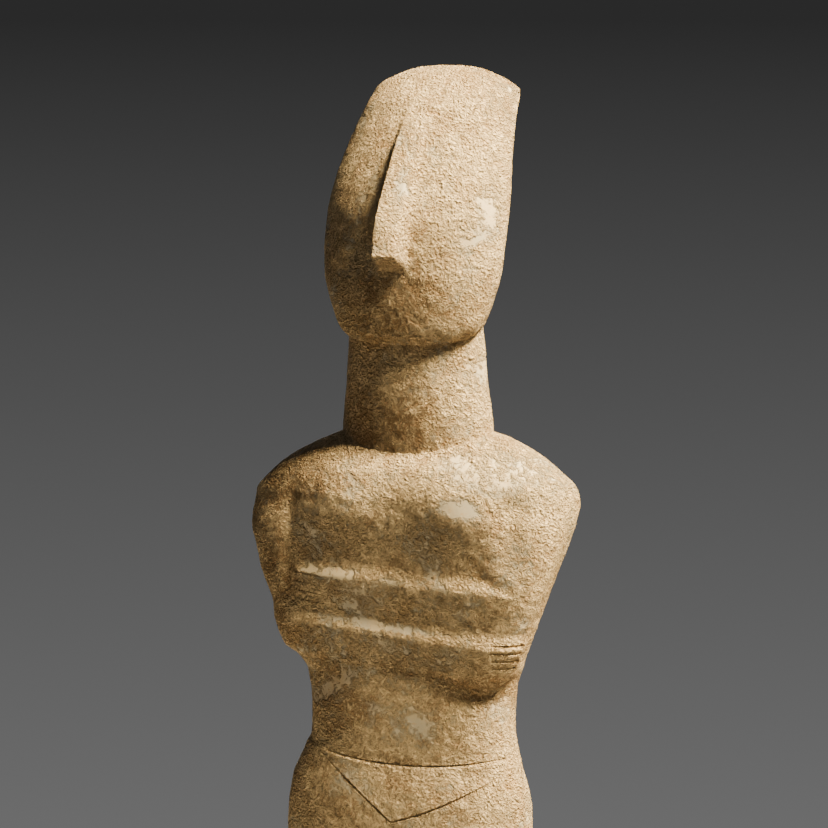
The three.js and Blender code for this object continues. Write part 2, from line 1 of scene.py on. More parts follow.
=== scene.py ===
"""Looks of a carved marble figure with folded arms on a low stone base.

Lengths of the carving are in thousandths of the figure's height, x to its own left, f forward and z
up from its toes. Everything that Blender holds is in metres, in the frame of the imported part.
"""

import logging
import math
from collections.abc import Callable, Iterable
from dataclasses import dataclass, field
from enum import Enum

import bmesh
import bpy
import numpy as np
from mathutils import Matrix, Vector


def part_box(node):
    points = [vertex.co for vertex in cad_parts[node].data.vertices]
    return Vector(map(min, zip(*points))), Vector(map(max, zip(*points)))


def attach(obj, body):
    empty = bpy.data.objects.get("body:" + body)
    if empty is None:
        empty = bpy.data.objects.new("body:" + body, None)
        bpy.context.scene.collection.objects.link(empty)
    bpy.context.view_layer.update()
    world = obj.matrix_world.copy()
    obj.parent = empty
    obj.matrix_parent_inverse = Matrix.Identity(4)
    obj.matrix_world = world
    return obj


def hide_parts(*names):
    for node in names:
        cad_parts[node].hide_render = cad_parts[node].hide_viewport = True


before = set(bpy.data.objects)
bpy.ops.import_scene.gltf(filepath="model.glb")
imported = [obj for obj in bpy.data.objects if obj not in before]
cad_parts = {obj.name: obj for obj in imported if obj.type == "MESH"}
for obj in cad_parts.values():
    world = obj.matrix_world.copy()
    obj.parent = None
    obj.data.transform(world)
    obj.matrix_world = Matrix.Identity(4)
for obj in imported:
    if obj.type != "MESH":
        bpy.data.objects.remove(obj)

log = logging.getLogger("figure")
Array = np.ndarray
Station = tuple[float, ...]
Pair = tuple[float, float]
Map = tuple[Pair, Pair]
Colour = tuple[float, float, float]
Line = Callable[[float], Pair]
Depth = Callable[[float], float]
Socket = bpy.types.NodeSocket
Value = Socket | float | str | tuple[float, ...]
# Cuts between the digits of a hand or foot
DIGIT_CUTS = 4
# Difference in height, in metres, below which an edge is level
LEVEL = 1e-6
# Degrees past which an edge of the figure is shaded sharp
SHARP_ANGLE = 42.0
# How far the figure's middle line stands behind the frame's middle, in metres
SET_BACK = 0.007


# Half the span, as a share of a line, over which its direction is taken
SPAN = 0.01


class Operation(Enum):
    """What a Boolean does to a mesh with another one."""

    JOIN = "UNION"
    CUT = "DIFFERENCE"


def smooth(low: float, high: float, value: Array) -> Array:
    """Smooth step.

    Args:
        low: where the step is still 0.
        high: where the step has become 1.
        value: the numbers to map.

    Returns:
        0 before low, 1 past high and a smooth rise between them.
    """
    share = np.clip((value - low) / (high - low), 0.0, 1.0)
    return share * share * (3.0 - 2.0 * share)


def swell(value: Array, centre: float, width: float | Array) -> Array:
    """Rounded swelling.

    Args:
        value: the numbers to map.
        centre: where the swelling is highest.
        width: its width to each side.

    Returns:
        1 at the centre, falling off to nothing on both sides.
    """
    return np.exp(-(((value - centre) / width) ** 2))


def between(start: Pair, end: Pair, value: Array) -> Array:
    """1 between two soft edges, each given by its two ends, and 0 outside them."""
    return smooth(*start, value) * (1.0 - smooth(*end, value))


@dataclass(frozen=True)
class Template:
    """A carver's templates: rows of numbers whose first value is the height or the row's own number."""

    stations: tuple[Station, ...]

    def at(self, column: int, height: Array) -> Array:
        """One value of the rows, between them by a monotone cubic.

        Args:
            column: which value of the rows.
            height: where it is asked for.

        Returns:
            The value at each height.
        """
        table = np.array(self.stations, float)
        keys, values = table[:, 0], table[:, column]
        slopes = np.diff(values) / np.diff(keys)
        product, total = slopes[:-1] * slopes[1:], slopes[:-1] + slopes[1:]
        inner = np.where(product > 0, 2.0 * product / np.where(total == 0, 1.0, total), 0.0)
        tangents = np.concatenate([slopes[:1], inner, slopes[-1:]])
        where = np.clip(height, keys[0], keys[-1])
        index = np.clip(np.searchsorted(keys, where) - 1, 0, len(keys) - 2)
        step = keys[index + 1] - keys[index]
        t = (where - keys[index]) / step
        rise = t * t * (3.0 - 2.0 * t)
        bend = (1.0 - t) * tangents[index] - t * tangents[index + 1]
        return values[index] + (values[index + 1] - values[index]) * rise + step * t * (1.0 - t) * bend


@dataclass(frozen=True)
class Folds:
    """Where the folded arms lie on the body at its middle line, and how far they stand out."""

    top: float = 657.5
    middle: float = 621.0
    bottom: float = 586.0
    relief: float = 3.0
    crease: float = 0.3
    foot: float = 0.15
    slope: float = 12.0
    undercut: float = 4.0
    fall: float = 0.85
    fingertips: float = -79.0
    armpit: float = 80.0
    shoulder: float = 716.0
    right_share: float = 0.35
    hips: float = 520.0
    waist: float = 552.0
    shoulder_fade: float = 0.9
    tips_edge: Pair = (-3.0, 6.0)
    lower_share: Pair = (0.75, 0.45)
    lower_reach: float = 70.0
    left_edge: Pair = (-20.0, 14.0)
    right_edge: float = 8.0

    def forearm(self, z: Array, low: float, high: float, crease: float, foot: float) -> Array:
        """Profile of one forearm, which slopes up to its ridge and falls from there to its underside.

        Args:
            z: heights on the body.
            low: the arm's lower edge.
            high: its upper edge.
            crease: share of the relief at the upper edge.
            foot: share of it at the lower edge.

        Returns:
            The share of the relief at each height, 0 outside the edges.
        """
        ridge = high - self.slope
        rise = 1.0 - (1.0 - crease) * smooth(ridge, high, z)
        fall = foot + (1.0 - foot) * np.clip((z - low) / (ridge - low), 0.0, 1.0) ** self.fall
        return np.where((z < low) | (z > high), 0.0, np.where(z > ridge, rise, fall))

    def upper_forearm(self, z: Array) -> Array:
        """Share of its relief that the upper forearm has. It laps over the lower one."""
        return self.forearm(z, self.middle, self.top, 0.0, self.crease)

    def lower_forearm(self, z: Array) -> Array:
        """Share of its relief that the lower forearm has."""
        shape = self.forearm(z, self.bottom, self.middle, self.crease, self.foot)
        return shape * smooth(self.bottom, self.bottom + self.undercut, z)

    def height(self, x: Array, z: Array) -> Array:
        """How far the arms stand out of the chest.

        Args:
            x: distances to the figure's left.
            z: heights on the body.

        Returns:
            The relief at each place.
        """
        upper, lower = self.upper_forearm(z), self.lower_forearm(z)
        shoulder = 1.0 - self.shoulder_fade * smooth(self.top, self.shoulder, z)
        low, high = self.tips_edge
        left_forearm = upper * smooth(self.fingertips + low, self.fingertips + high, x)
        least, more = self.lower_share
        right_forearm = lower * (least + more * smooth(-self.lower_reach, self.lower_reach, x))
        left_side = np.where(z < self.top - self.slope, upper, shoulder)
        right_side = np.where(z < self.middle - self.slope, lower, shoulder)
        inner, outer = self.left_edge
        left_arm = left_side * smooth(self.armpit + inner, self.armpit + outer, x)
        right_edge = smooth(self.armpit, self.armpit + self.right_edge, -x)
        right_arm = self.right_share * right_side * right_edge
        return self.relief * np.maximum.reduce([left_forearm, right_forearm, left_arm, right_arm])

    def flatness(self, z: Array, belly: float, arms: float, blend: float, rise: float) -> Array:
        """How much squarer than its back the front of the body is.

        Args:
            z: heights on the body.
            belly: what is added over the belly.
            arms: what is added over the arms.
            blend: over what height it comes and goes, to each side.
            rise: how far up the chest it takes to go.

        Returns:
            What is added to the squareness at each height.
        """
        below_arms = 1.0 - smooth(self.bottom - blend, self.bottom + blend, z)
        below_chest = 1.0 - smooth(self.top - blend, self.top + rise, z)
        over_belly = belly * smooth(self.hips - blend, self.waist, z) * below_arms
        return over_belly + arms * (1.0 - below_arms) * below_chest


@dataclass(frozen=True)
class Bulge:
    """A rounded form on both sides of the middle line: how far out it stands, its middle and reach."""

    out: float
    side: float
    wide: float
    z: float
    high: float

    def height(self, side: Array, z: Array) -> Array:
        """How far it stands out at each distance from the middle line and each height."""
        return self.out * swell(side, self.side, self.wide) * swell(z, self.z, self.high)


@dataclass(frozen=True)
class BodyRelief:
    """The swellings and hollows of the body. A pair names the two ends of a soft edge."""

    folds: Folds = field(default_factory=Folds)
    belly_flatness: float = 0.5
    arm_flatness: float = 2.0
    flatness_blend: float = 12.0
    flatness_rise: float = 52.0
    breast: float = 4.5
    breast_middles: Pair = (-40.0, 44.0)
    breast_level: float = 697.0
    breast_size: tuple[float, float, float] = (27.0, 28.0, 18.0)
    knees: Bulge = Bulge(2.5, 34.0, 17.0, 287.0, 17.0)
    seat: Bulge = Bulge(4.0, 42.0, 24.0, 478.0, 30.0)
    calves: Bulge = Bulge(2.0, 32.0, 17.0, 190.0, 40.0)
    blades: Bulge = Bulge(2.5, 48.0, 26.0, 690.0, 26.0)
    armpit_end: Pair = (700.0, 716.0)
    front_groove: float = 1.1
    front_groove_wide: float = 6.0
    front_groove_start: Pair = (618.0, 628.0)
    left_hollow: float = 2.6
    left_hollow_past: float = 6.0
    left_hollow_wide: float = 10.0
    left_hollow_start: Pair = (651.5, 673.5)
    hand_hollow: float = 3.2
    hand_hollow_side: Pair = (10.0, 70.0)
    hand_hollow_level: float = 577.0
    hand_hollow_high: float = 9.0
    back_groove: float = 2.0
    back_groove_inside: float = 4.0
    back_groove_wide: float = 5.0
    back_groove_start: Pair = (592.0, 612.0)
    back_groove_end: Pair = (680.0, 704.0)
    leg_hollow: float = 5.0
    leg_hollow_wide: float = 17.0
    fork: Pair = (380.0, 478.0)
    seat_fork: Pair = (430.0, 500.0)
    pelvis: float = 1.3
    pelvis_start: Pair = (-0.6, 1.2)
    pelvis_end: Pair = (12.0, 60.0)
    belly_low: Pair = (8.0, 520.0)
    belly_bend: float = 0.0016

    def belly_line(self, x: Array) -> Array:
        """Height of the incised line under the belly at each x."""
        return self.belly_low[1] + self.belly_bend * (x - self.belly_low[0]) ** 2

    def flatness(self, z: Array) -> Array:
        """How much squarer than its back the front of the body is at each height."""
        belly, arms = self.belly_flatness, self.arm_flatness
        return self.folds.flatness(z, belly, arms, self.flatness_blend, self.flatness_rise)

    def between_legs(self, x: Array, z: Array, end: Pair) -> Array:
        """Depth of the hollow between the legs, which ends softly at the top."""
        return self.leg_hollow * swell(x, 0.0, self.leg_hollow_wide) * (1.0 - smooth(*end, z))

    def front(self, x: Array, z: Array) -> Array:
        """Carving on the front.

        Args:
            x: distances to the figure's left.
            z: heights on the body.

        Returns:
            How far the surface stands out of the plain section.
        """
        side, armpit = np.abs(x), self.folds.armpit
        wide, above, below = self.breast_size
        across = sum(swell(x, middle, wide) for middle in self.breast_middles)
        tall = np.where(z > self.breast_level, above, below)
        breasts = self.breast * across * swell(z, self.breast_level, tall)
        groove = self.front_groove * swell(-x, armpit, self.front_groove_wide)
        groove = groove * between(self.front_groove_start, self.armpit_end, z)
        hollow = self.left_hollow * swell(x, armpit + self.left_hollow_past, self.left_hollow_wide)
        hollow = hollow * between(self.left_hollow_start, self.armpit_end, z)
        hand = self.hand_hollow * smooth(*self.hand_hollow_side, x)
        hand = hand * swell(z, self.hand_hollow_level, self.hand_hollow_high)
        cuts = groove + hollow + hand + self.between_legs(x, z, self.fork)
        pelvis = self.pelvis * between(self.pelvis_start, self.pelvis_end, self.belly_line(x) - z)
        return self.folds.height(x, z) + breasts + self.knees.height(side, z) + pelvis - cuts

    def back(self, x: Array, z: Array) -> Array:
        """Carving on the back.

        Args:
            x: distances to the figure's left.
            z: heights on the body.

        Returns:
            How far the surface stands out of the plain section.
        """
        side, armpit = np.abs(x), self.folds.armpit
        rounds = sum(bulge.height(side, z) for bulge in (self.seat, self.calves, self.blades))
        grooves = self.back_groove * swell(side, armpit - self.back_groove_inside, self.back_groove_wide)
        grooves = grooves * between(self.back_groove_start, self.back_groove_end, z)
        return rounds - grooves - self.between_legs(x, z, self.seat_fork)


@dataclass(frozen=True)
class Columns:
    """How the columns of a skin are spread over its front and back."""

    front_inside: int
    front_outside: int
    back_inside: int
    back_outside: int
    edge: float = 0.01
    crowd: float = 0.0

    def half(self, inside: int, outside: int) -> Array:
        """Turns from -1 to nearly 1 over one side.

        Args:
            inside: how many lie between the armpit lines.
            outside: how many lie outside each line.

        Returns:
            The turns in order.
        """
        share = np.linspace(-1.0, 1.0, inside, endpoint=False)
        middle = (0.5 - self.edge) * ((1.0 - self.crowd) * share + self.crowd * share**3)
        before = np.linspace(-1.0, -0.5 - self.edge, outside, endpoint=False)
        after = np.linspace(0.5 + self.edge, 1.0, outside, endpoint=False)
        return np.concatenate([before, [-0.5 - self.edge], middle, [0.5 - self.edge], after])

    def ring(self) -> tuple[Array, Array]:
        """One closed ring.

        Returns:
            The turn of each column, and whether it is in front: over the front from right to left, then
            over the back from left to right.
        """
        front = self.half(self.front_inside, self.front_outside)
        back = -self.half(self.back_inside, self.back_outside)
        is_front = np.concatenate([np.ones(len(front), bool), np.zeros(len(back), bool)])
        return np.concatenate([front, back]), is_front


@dataclass(frozen=True)
class Sections:
    """Rounded sections whose columns keep to the armpit lines where the body is wide enough."""

    armpit: float = 80.0
    widest_flat: float = 0.8

    def share(self, turn: Array, half: Array) -> Array:
        """Share of the half width at each turn.

        Args:
            turn: from -1, the figure's right, to 1, its left.
            half: half width on that side.

        Returns:
            The share, from -1 to 1.
        """
        edge = np.arcsin(np.minimum(self.armpit / half, self.widest_flat))
        inside = 2.0 * np.abs(turn) * np.sin(edge)
        outside = np.sin(edge + (math.pi / 2.0 - edge) * (2.0 * np.abs(turn) - 1.0))
        return np.sign(turn) * np.where(np.abs(turn) < 0.5, inside, outside)

    def turn(self, x: float, half: float) -> float:
        """The turn at a distance x from the middle of a section of this half width.

        Args:
            x: the distance, to the left.
            half: half width on that side.

        Returns:
            The turn, from -1 to 1.
        """
        share = min(abs(x) / half, 0.999)
        edge = math.asin(min(self.armpit / half, self.widest_flat))
        outside = (math.asin(share) - edge) / (math.pi / 2.0 - edge)
        inside = share / math.sin(edge)
        return math.copysign(0.5 * inside if inside < 1.0 else 0.5 + 0.5 * outside, x)

    def point(
        self, turn: Array, front: Array, half: Array, depth: Array, square: Array
    ) -> tuple[Array, ...]:
        """Points of a rounded section.

        Args:
            turn: from -1, the figure's right, to 1, its left.
            front: whether each point is in front.
            half: half width on the point's side.
            depth: depth in front or behind.
            square: how square the section is.

        Returns:
            x, f, the share of the full depth, and the outward direction's two components.
        """
        share = self.share(turn, half)
        sign = np.where(front, 1.0, -1.0)
        rise = np.clip(1.0 - np.abs(share) ** square, 0.0, 1.0) ** (1.0 / square)
        out_x = np.sign(share) * np.abs(share) ** (square - 1.0) / half
        out_f = sign * rise ** (square - 1.0) / depth
        length = np.hypot(out_x, out_f)
        return half * share, sign * depth * rise, rise, out_x / length, out_f / length


@dataclass(frozen=True)
class Place:
    """How the carving's own lengths turn into metres in the part's frame."""

    unit: float
    set_back: float
    foot: float

    def metres(self, points: Array) -> Array:
        """Points of the carving, as x, f and z, in metres in the part's frame.

        Args:
            points: places on the carving.

        Returns:
            The same places as x, y and z.
        """
        x, f, z = points[..., 0], points[..., 1], points[..., 2]
        along = [x * self.unit, self.set_back - f * self.unit, self.foot + z * self.unit]
        return np.stack(along, axis=-1)

    def carving(self, points: Array) -> Array:
        """Points in metres, back as x, f and z of the carving."""
        x, y, z = points[..., 0], points[..., 1], points[..., 2]
        return np.stack([x, self.set_back - y, z - self.foot], axis=-1) / self.unit


def skin(name: str, rings: Array) -> bpy.types.Object:
    """Closed mesh over rings of points, with a fan at each end.

    Args:
        name: the object's name.
        rings: points in metres, as rings by columns by three.

    Returns:
        The new object, linked to the scene.
    """
    count, columns = rings.shape[:2]
    ends = [rings[0].mean(axis=0), rings[-1].mean(axis=0)]
    points = np.concatenate([rings.reshape(-1, 3), ends])
    index = np.arange(count * columns).reshape(count, columns)
    following = np.roll(index, -1, axis=1)
    a, b = index[:-1].ravel(), following[:-1].ravel()
    c, d = following[1:].ravel(), index[1:].ravel()
    falling = np.linalg.norm(points[b] - points[d], axis=1)
    short = (falling < np.linalg.norm(points[a] - points[c], axis=1))[:, None]
    first = np.where(short, np.stack([a, b, d], 1), np.stack([a, b, c], 1))
    second = np.where(short, np.stack([b, c, d], 1), np.stack([a, c, d], 1))
    low = np.full(columns, count * columns)
    high = np.full(columns, count * columns + 1)
    bottom = np.stack([low, following[0], index[0]], 1)
    top = np.stack([high, index[-1], following[-1]], 1)
    faces = np.concatenate([first, second, bottom, top])
    return mesh_object(name, points, faces)


def mesh_object(name: str, points: Array, faces: Array) -> bpy.types.Object:
    """Mesh object from points and triangles.

    Args:
        name: the object's name.
        points: vertices in metres.
        faces: three vertex numbers a face.

    Returns:
        The new object, linked to the scene.
    """
    mesh = bpy.data.meshes.new(name)
    mesh.from_pydata(points.tolist(), [], faces.tolist())
    mesh.validate()
    return place_object(name, mesh)


def place_object(name: str, data: bpy.types.ID) -> bpy.types.Object:
    """A new object over its data, linked to the scene.

    Args:
        name: its name.
        data: its mesh, camera or light.

    Returns:
        The object.
    """
    obj = bpy.data.objects.new(name, data)
    bpy.context.scene.collection.objects.link(obj)
    return obj


def from_bmesh(name: str, mesh: bmesh.types.BMesh) -> bpy.types.Object:
    """Mesh object from a mesh under construction.

    Args:
        name: the object's name.
        mesh: the mesh, which is freed.

    Returns:
        The new object, linked to the scene.
    """
    data = bpy.data.meshes.new(name)
    mesh.to_mesh(data)
    mesh.free()
    return place_object(name, data)


def read(items: bpy.types.bpy_prop_collection, name: str, width: int, kind: type = float) -> Array:
    """One property of many items.

    Args:
        items: the vertices, edges or normals.
        name: the property.
        width: how many numbers each item has.
        kind: the type of the numbers.

    Returns:
        The numbers, with a row for each item.
    """
    values = np.zeros(len(items) * width, kind)
    items.foreach_get(name, values)
    return values.reshape(-1, width)


def paint(obj: bpy.types.Object, material: bpy.types.Material) -> None:
    """Gives an object one material in place of all others."""
    obj.data.materials.clear()
    obj.data.materials.append(material)


def settle(obj: bpy.types.Object) -> None:
    """Turns an object with modifiers into a plain mesh of the same name.

    Args:
        obj: the object, whose modifiers are applied and removed.
    """
    graph = bpy.context.evaluated_depsgraph_get()
    mesh = bpy.data.meshes.new_from_object(obj.evaluated_get(graph))
    obj.modifiers.clear()
    old = obj.data
    obj.data = mesh
    mesh.name = obj.name
    bpy.data.meshes.remove(old)


def combine(obj: bpy.types.Object, others: list[bpy.types.Object], operation: Operation) -> None:
    """Joins other closed meshes to an object, or cuts them from it, and removes them.

    Args:
        obj: the object that changes.
        others: the closed meshes that join or cut it.
        operation: which of the two.
    """
    for other in others:
        modifier = obj.modifiers.new("carve", "BOOLEAN")
        modifier.operation = operation.value
        modifier.solver = "MANIFOLD"
        modifier.object = other
    bpy.context.view_layer.update()
    settle(obj)
    for other in others:
        bpy.data.objects.remove(other)


BODY_STATIONS: tuple[Station, ...] = (
    # height, half width to its right and left, front, back, side line, tilt, squareness
    (0, 41, 41, 49, 24, 37, 0, 2.6),
    (8, 44, 44, 50, 13, 32, 0, 2.5),
    (20, 46, 46, 43, -3, 20, 0, 2.4),
    (35, 46, 46, 33, -19, 8, 0, 2.3),
    (50, 43, 43, 22, -26, -1, 0, 2.2),
    (66, 39, 39, 13, -27, -7, 0, 2.2),
    (85, 41, 41, 12, -28, -8, 0, 2.2),
    (120, 48, 48, 16, -32, -8, 0, 2.2),
    (160, 57, 57, 22, -36, -6, 0, 2.2),
    (200, 63, 63, 28, -36, -3, 0, 2.2),
    (232, 65, 65, 33, -31, 3, 0, 2.2),
    (262, 66, 66, 40, -24, 9, 0, 2.2),
    (288, 69, 69, 46, -20, 13, 0, 2.2),
    (320, 74, 74, 47, -21, 14, 0, 2.2),
    (360, 81, 81, 48, -25, 14, 0, 2.2),
    (400, 87, 87, 47, -29, 14, 0, 2.2),
    (440, 91, 91, 43, -33, 14, 0, 2.2),
    (473, 93, 90, 40.8, -36, 13, 0, 2.2),
    (490, 92, 89.5, 39.8, -36, 12, 0, 2.2),
    (507, 89, 85.5, 38.3, -35, 10, 0, 2.2),
    (520, 83, 80, 36.5, -34, 8, 0, 2.3),
    (535, 75.5, 76, 36.8, -33, 6, -0.03, 2.4),
    (552, 74.5, 74, 37.2, -33, 6, -0.05, 2.4),
    (575, 78, 75, 37.2, -34, 6, -0.08, 2.4),
    (585, 84.5, 77, 37.2, -35, 7, -0.08, 2.4),
    (590, 92, 79, 37.4, -36, 8, -0.08, 2.4),
    (603, 96.2, 84, 37.6, -36, 10, -0.08, 2.4),
    (621, 100.8, 90.5, 38, -37, 10, -0.085, 2.4),
    (640, 108.6, 98, 38.5, -38, 9, -0.07, 2.4),
    (657, 113, 105, 39, -38, 7, -0.05, 2.4),
    (680, 120.2, 115, 40.4, -38, 4, -0.02, 2.4),
    (693, 121.2, 119.5, 41, -37, 2, 0, 2.4),
    (704, 121, 121, 41, -36, 0, 0, 2.4),
    (714, 113, 118, 40, -35, 0, 0, 2.4),
    (724, 102, 107, 37.5, -34, 0, 0, 2.3),
    (734, 86, 94, 29.5, -33, 0, 0, 2.2),
    (745, 62, 72, 21.5, -30, 0, 0, 2.1),
    (753, 39, 46, 13, -22, 0, 0, 2),
)

NECK_STATIONS: tuple[Station, ...] = (
    # height, half width to its right and left, front, back, side line, tilt, squareness
    (700, 57, 57, 22, -26, 0, 0, 2.1),
    (718, 57, 57, 26, -33, 0, 0, 2.1),
    (735, 56, 56, 28.5, -36, 0, 0, 2.1),
    (755, 55, 55, 30, -36, 0, 0, 2.1),
    (780, 52, 52, 31, -34, 1, 0, 2.1),
    (807, 50, 50, 30.5, -31, 2, 0, 2.1),
    (850, 47, 47, 28, -20, 3, 0, 2.1),
)

HEAD_STATIONS: tuple[Station, ...] = (
    # row, height at the side line, half width, side line, depth in front, depth behind, middle's rise,
    # pitch, squareness
    (0, 820, 30, 6, 15, 20, 0, 0.3, 2.2),
    (1, 819, 45, 7, 23, 30, 0, 0.3, 2.2),
    (2, 823, 51.5, 8, 26.5, 33, 0, 0.3, 2.2),
    (3, 830, 55.5, 9, 28, 34, 0, 0.28, 2.2),
    (4, 843, 60.7, 9, 29.5, 33, 0, 0.21, 2.15),
    (5, 858, 65.4, 8, 31, 31, 0, 0.12, 2.1),
    (6, 875, 67.1, 5, 33.9, 29, 0, 0.05, 2.0),
    (7, 900, 67.7, -2, 38, 25, 0, 0, 2.0),
    (8, 925, 65.2, -12, 38, 21, 0, 0, 2.0),
    (9, 945, 61.7, -23, 38, 17, 2, 0, 2.0),
    (10, 960, 59, -33, 36.5, 13, 4, 0, 2.05),
    (11, 970, 57, -41, 34, 10, 7, 0, 2.2),
    (12, 977.5, 55.5, -48, 28, 9, 10.5, 0, 2.2),
    (13, 983, 54, -52, 18, 8, 13.6, 0, 2.3),
    (14, 984.5, 49.5, -54, 8, 4, 15, 0, 2.3),
)


@dataclass(frozen=True)
class Nose:
    """The long nose: a wedge that fades into the brow above and is cut off below."""

    middle: float = -1.3
    stations: Template = Template(
        (
            # height, half width of the ridge, how far it stands out, width of its left flank
            (872, 7.8, 19.5, 5),
            (890, 8.2, 15.5, 5.5),
            (907, 8.4, 11.4, 6),
            (926, 8.2, 8.4, 6.5),
            (942, 7.8, 5.6, 8),
            (956, 7.4, 2.8, 9),
            (970, 6.5, 0, 9),
        )
    )
    right_flank: float = 4.0
    tip: float = 872.0
    root: float = 861.0
    lean: float = 0.2
    ridge_edge: float = 0.6
    flank_edge: float = 1.2

    def height(self, x: Array, z: Array) -> Array:
        """How far the nose stands out of the face.

        Args:
            x: distances to the figure's left.
            z: heights on the face.

        Returns:
            The relief at each place.
        """
        half, out, flank = (self.stations.at(k, z) for k in (1, 2, 3))
        beside = x - self.middle
        right = smooth(-half - self.right_flank, -half + self.ridge_edge, beside)
        left = 1.0 - smooth(half - self.flank_edge, half + flank, beside)
        lean = 1.0 - self.lean * np.clip((beside + half) / (2.0 * half), 0.0, 1.0)
        underside = np.clip((z - self.root) / (self.tip - self.root), 0.0, 1.0)
        return out * lean * np.where(beside < 0.0, right, left) * underside


def heights(bands: tuple[tuple[float, float, float], ...]) -> Array:
    """Heights of a skin's rings.

    Args:
        bands: low end, high end and spacing of each stretch, from the bottom up.

    Returns:
        The heights in order, with the last stretch's high end.
    """
    counts = [round((high - low) / gap) for low, high, gap in bands]
    runs = [np.linspace(band[0], band[1], n, endpoint=False) for band, n in zip(bands, counts)]
    return np.concatenate([*runs, [bands[-1][1]]])


@dataclass(frozen=True)
class Groove:
    """The V of an incised line or cleft: half width for each unit of depth, and how proud it starts."""

    flank: float
    proud: float = 2.5


@dataclass(frozen=True)
class Hand:
    """The cuts that part the fingers of one hand, from the topmost one's tip to their wrist ends."""

    tip: tuple[float, float]
    wrist: float
    rise: float
    pitch: float
    depth: float
    cut: Groove


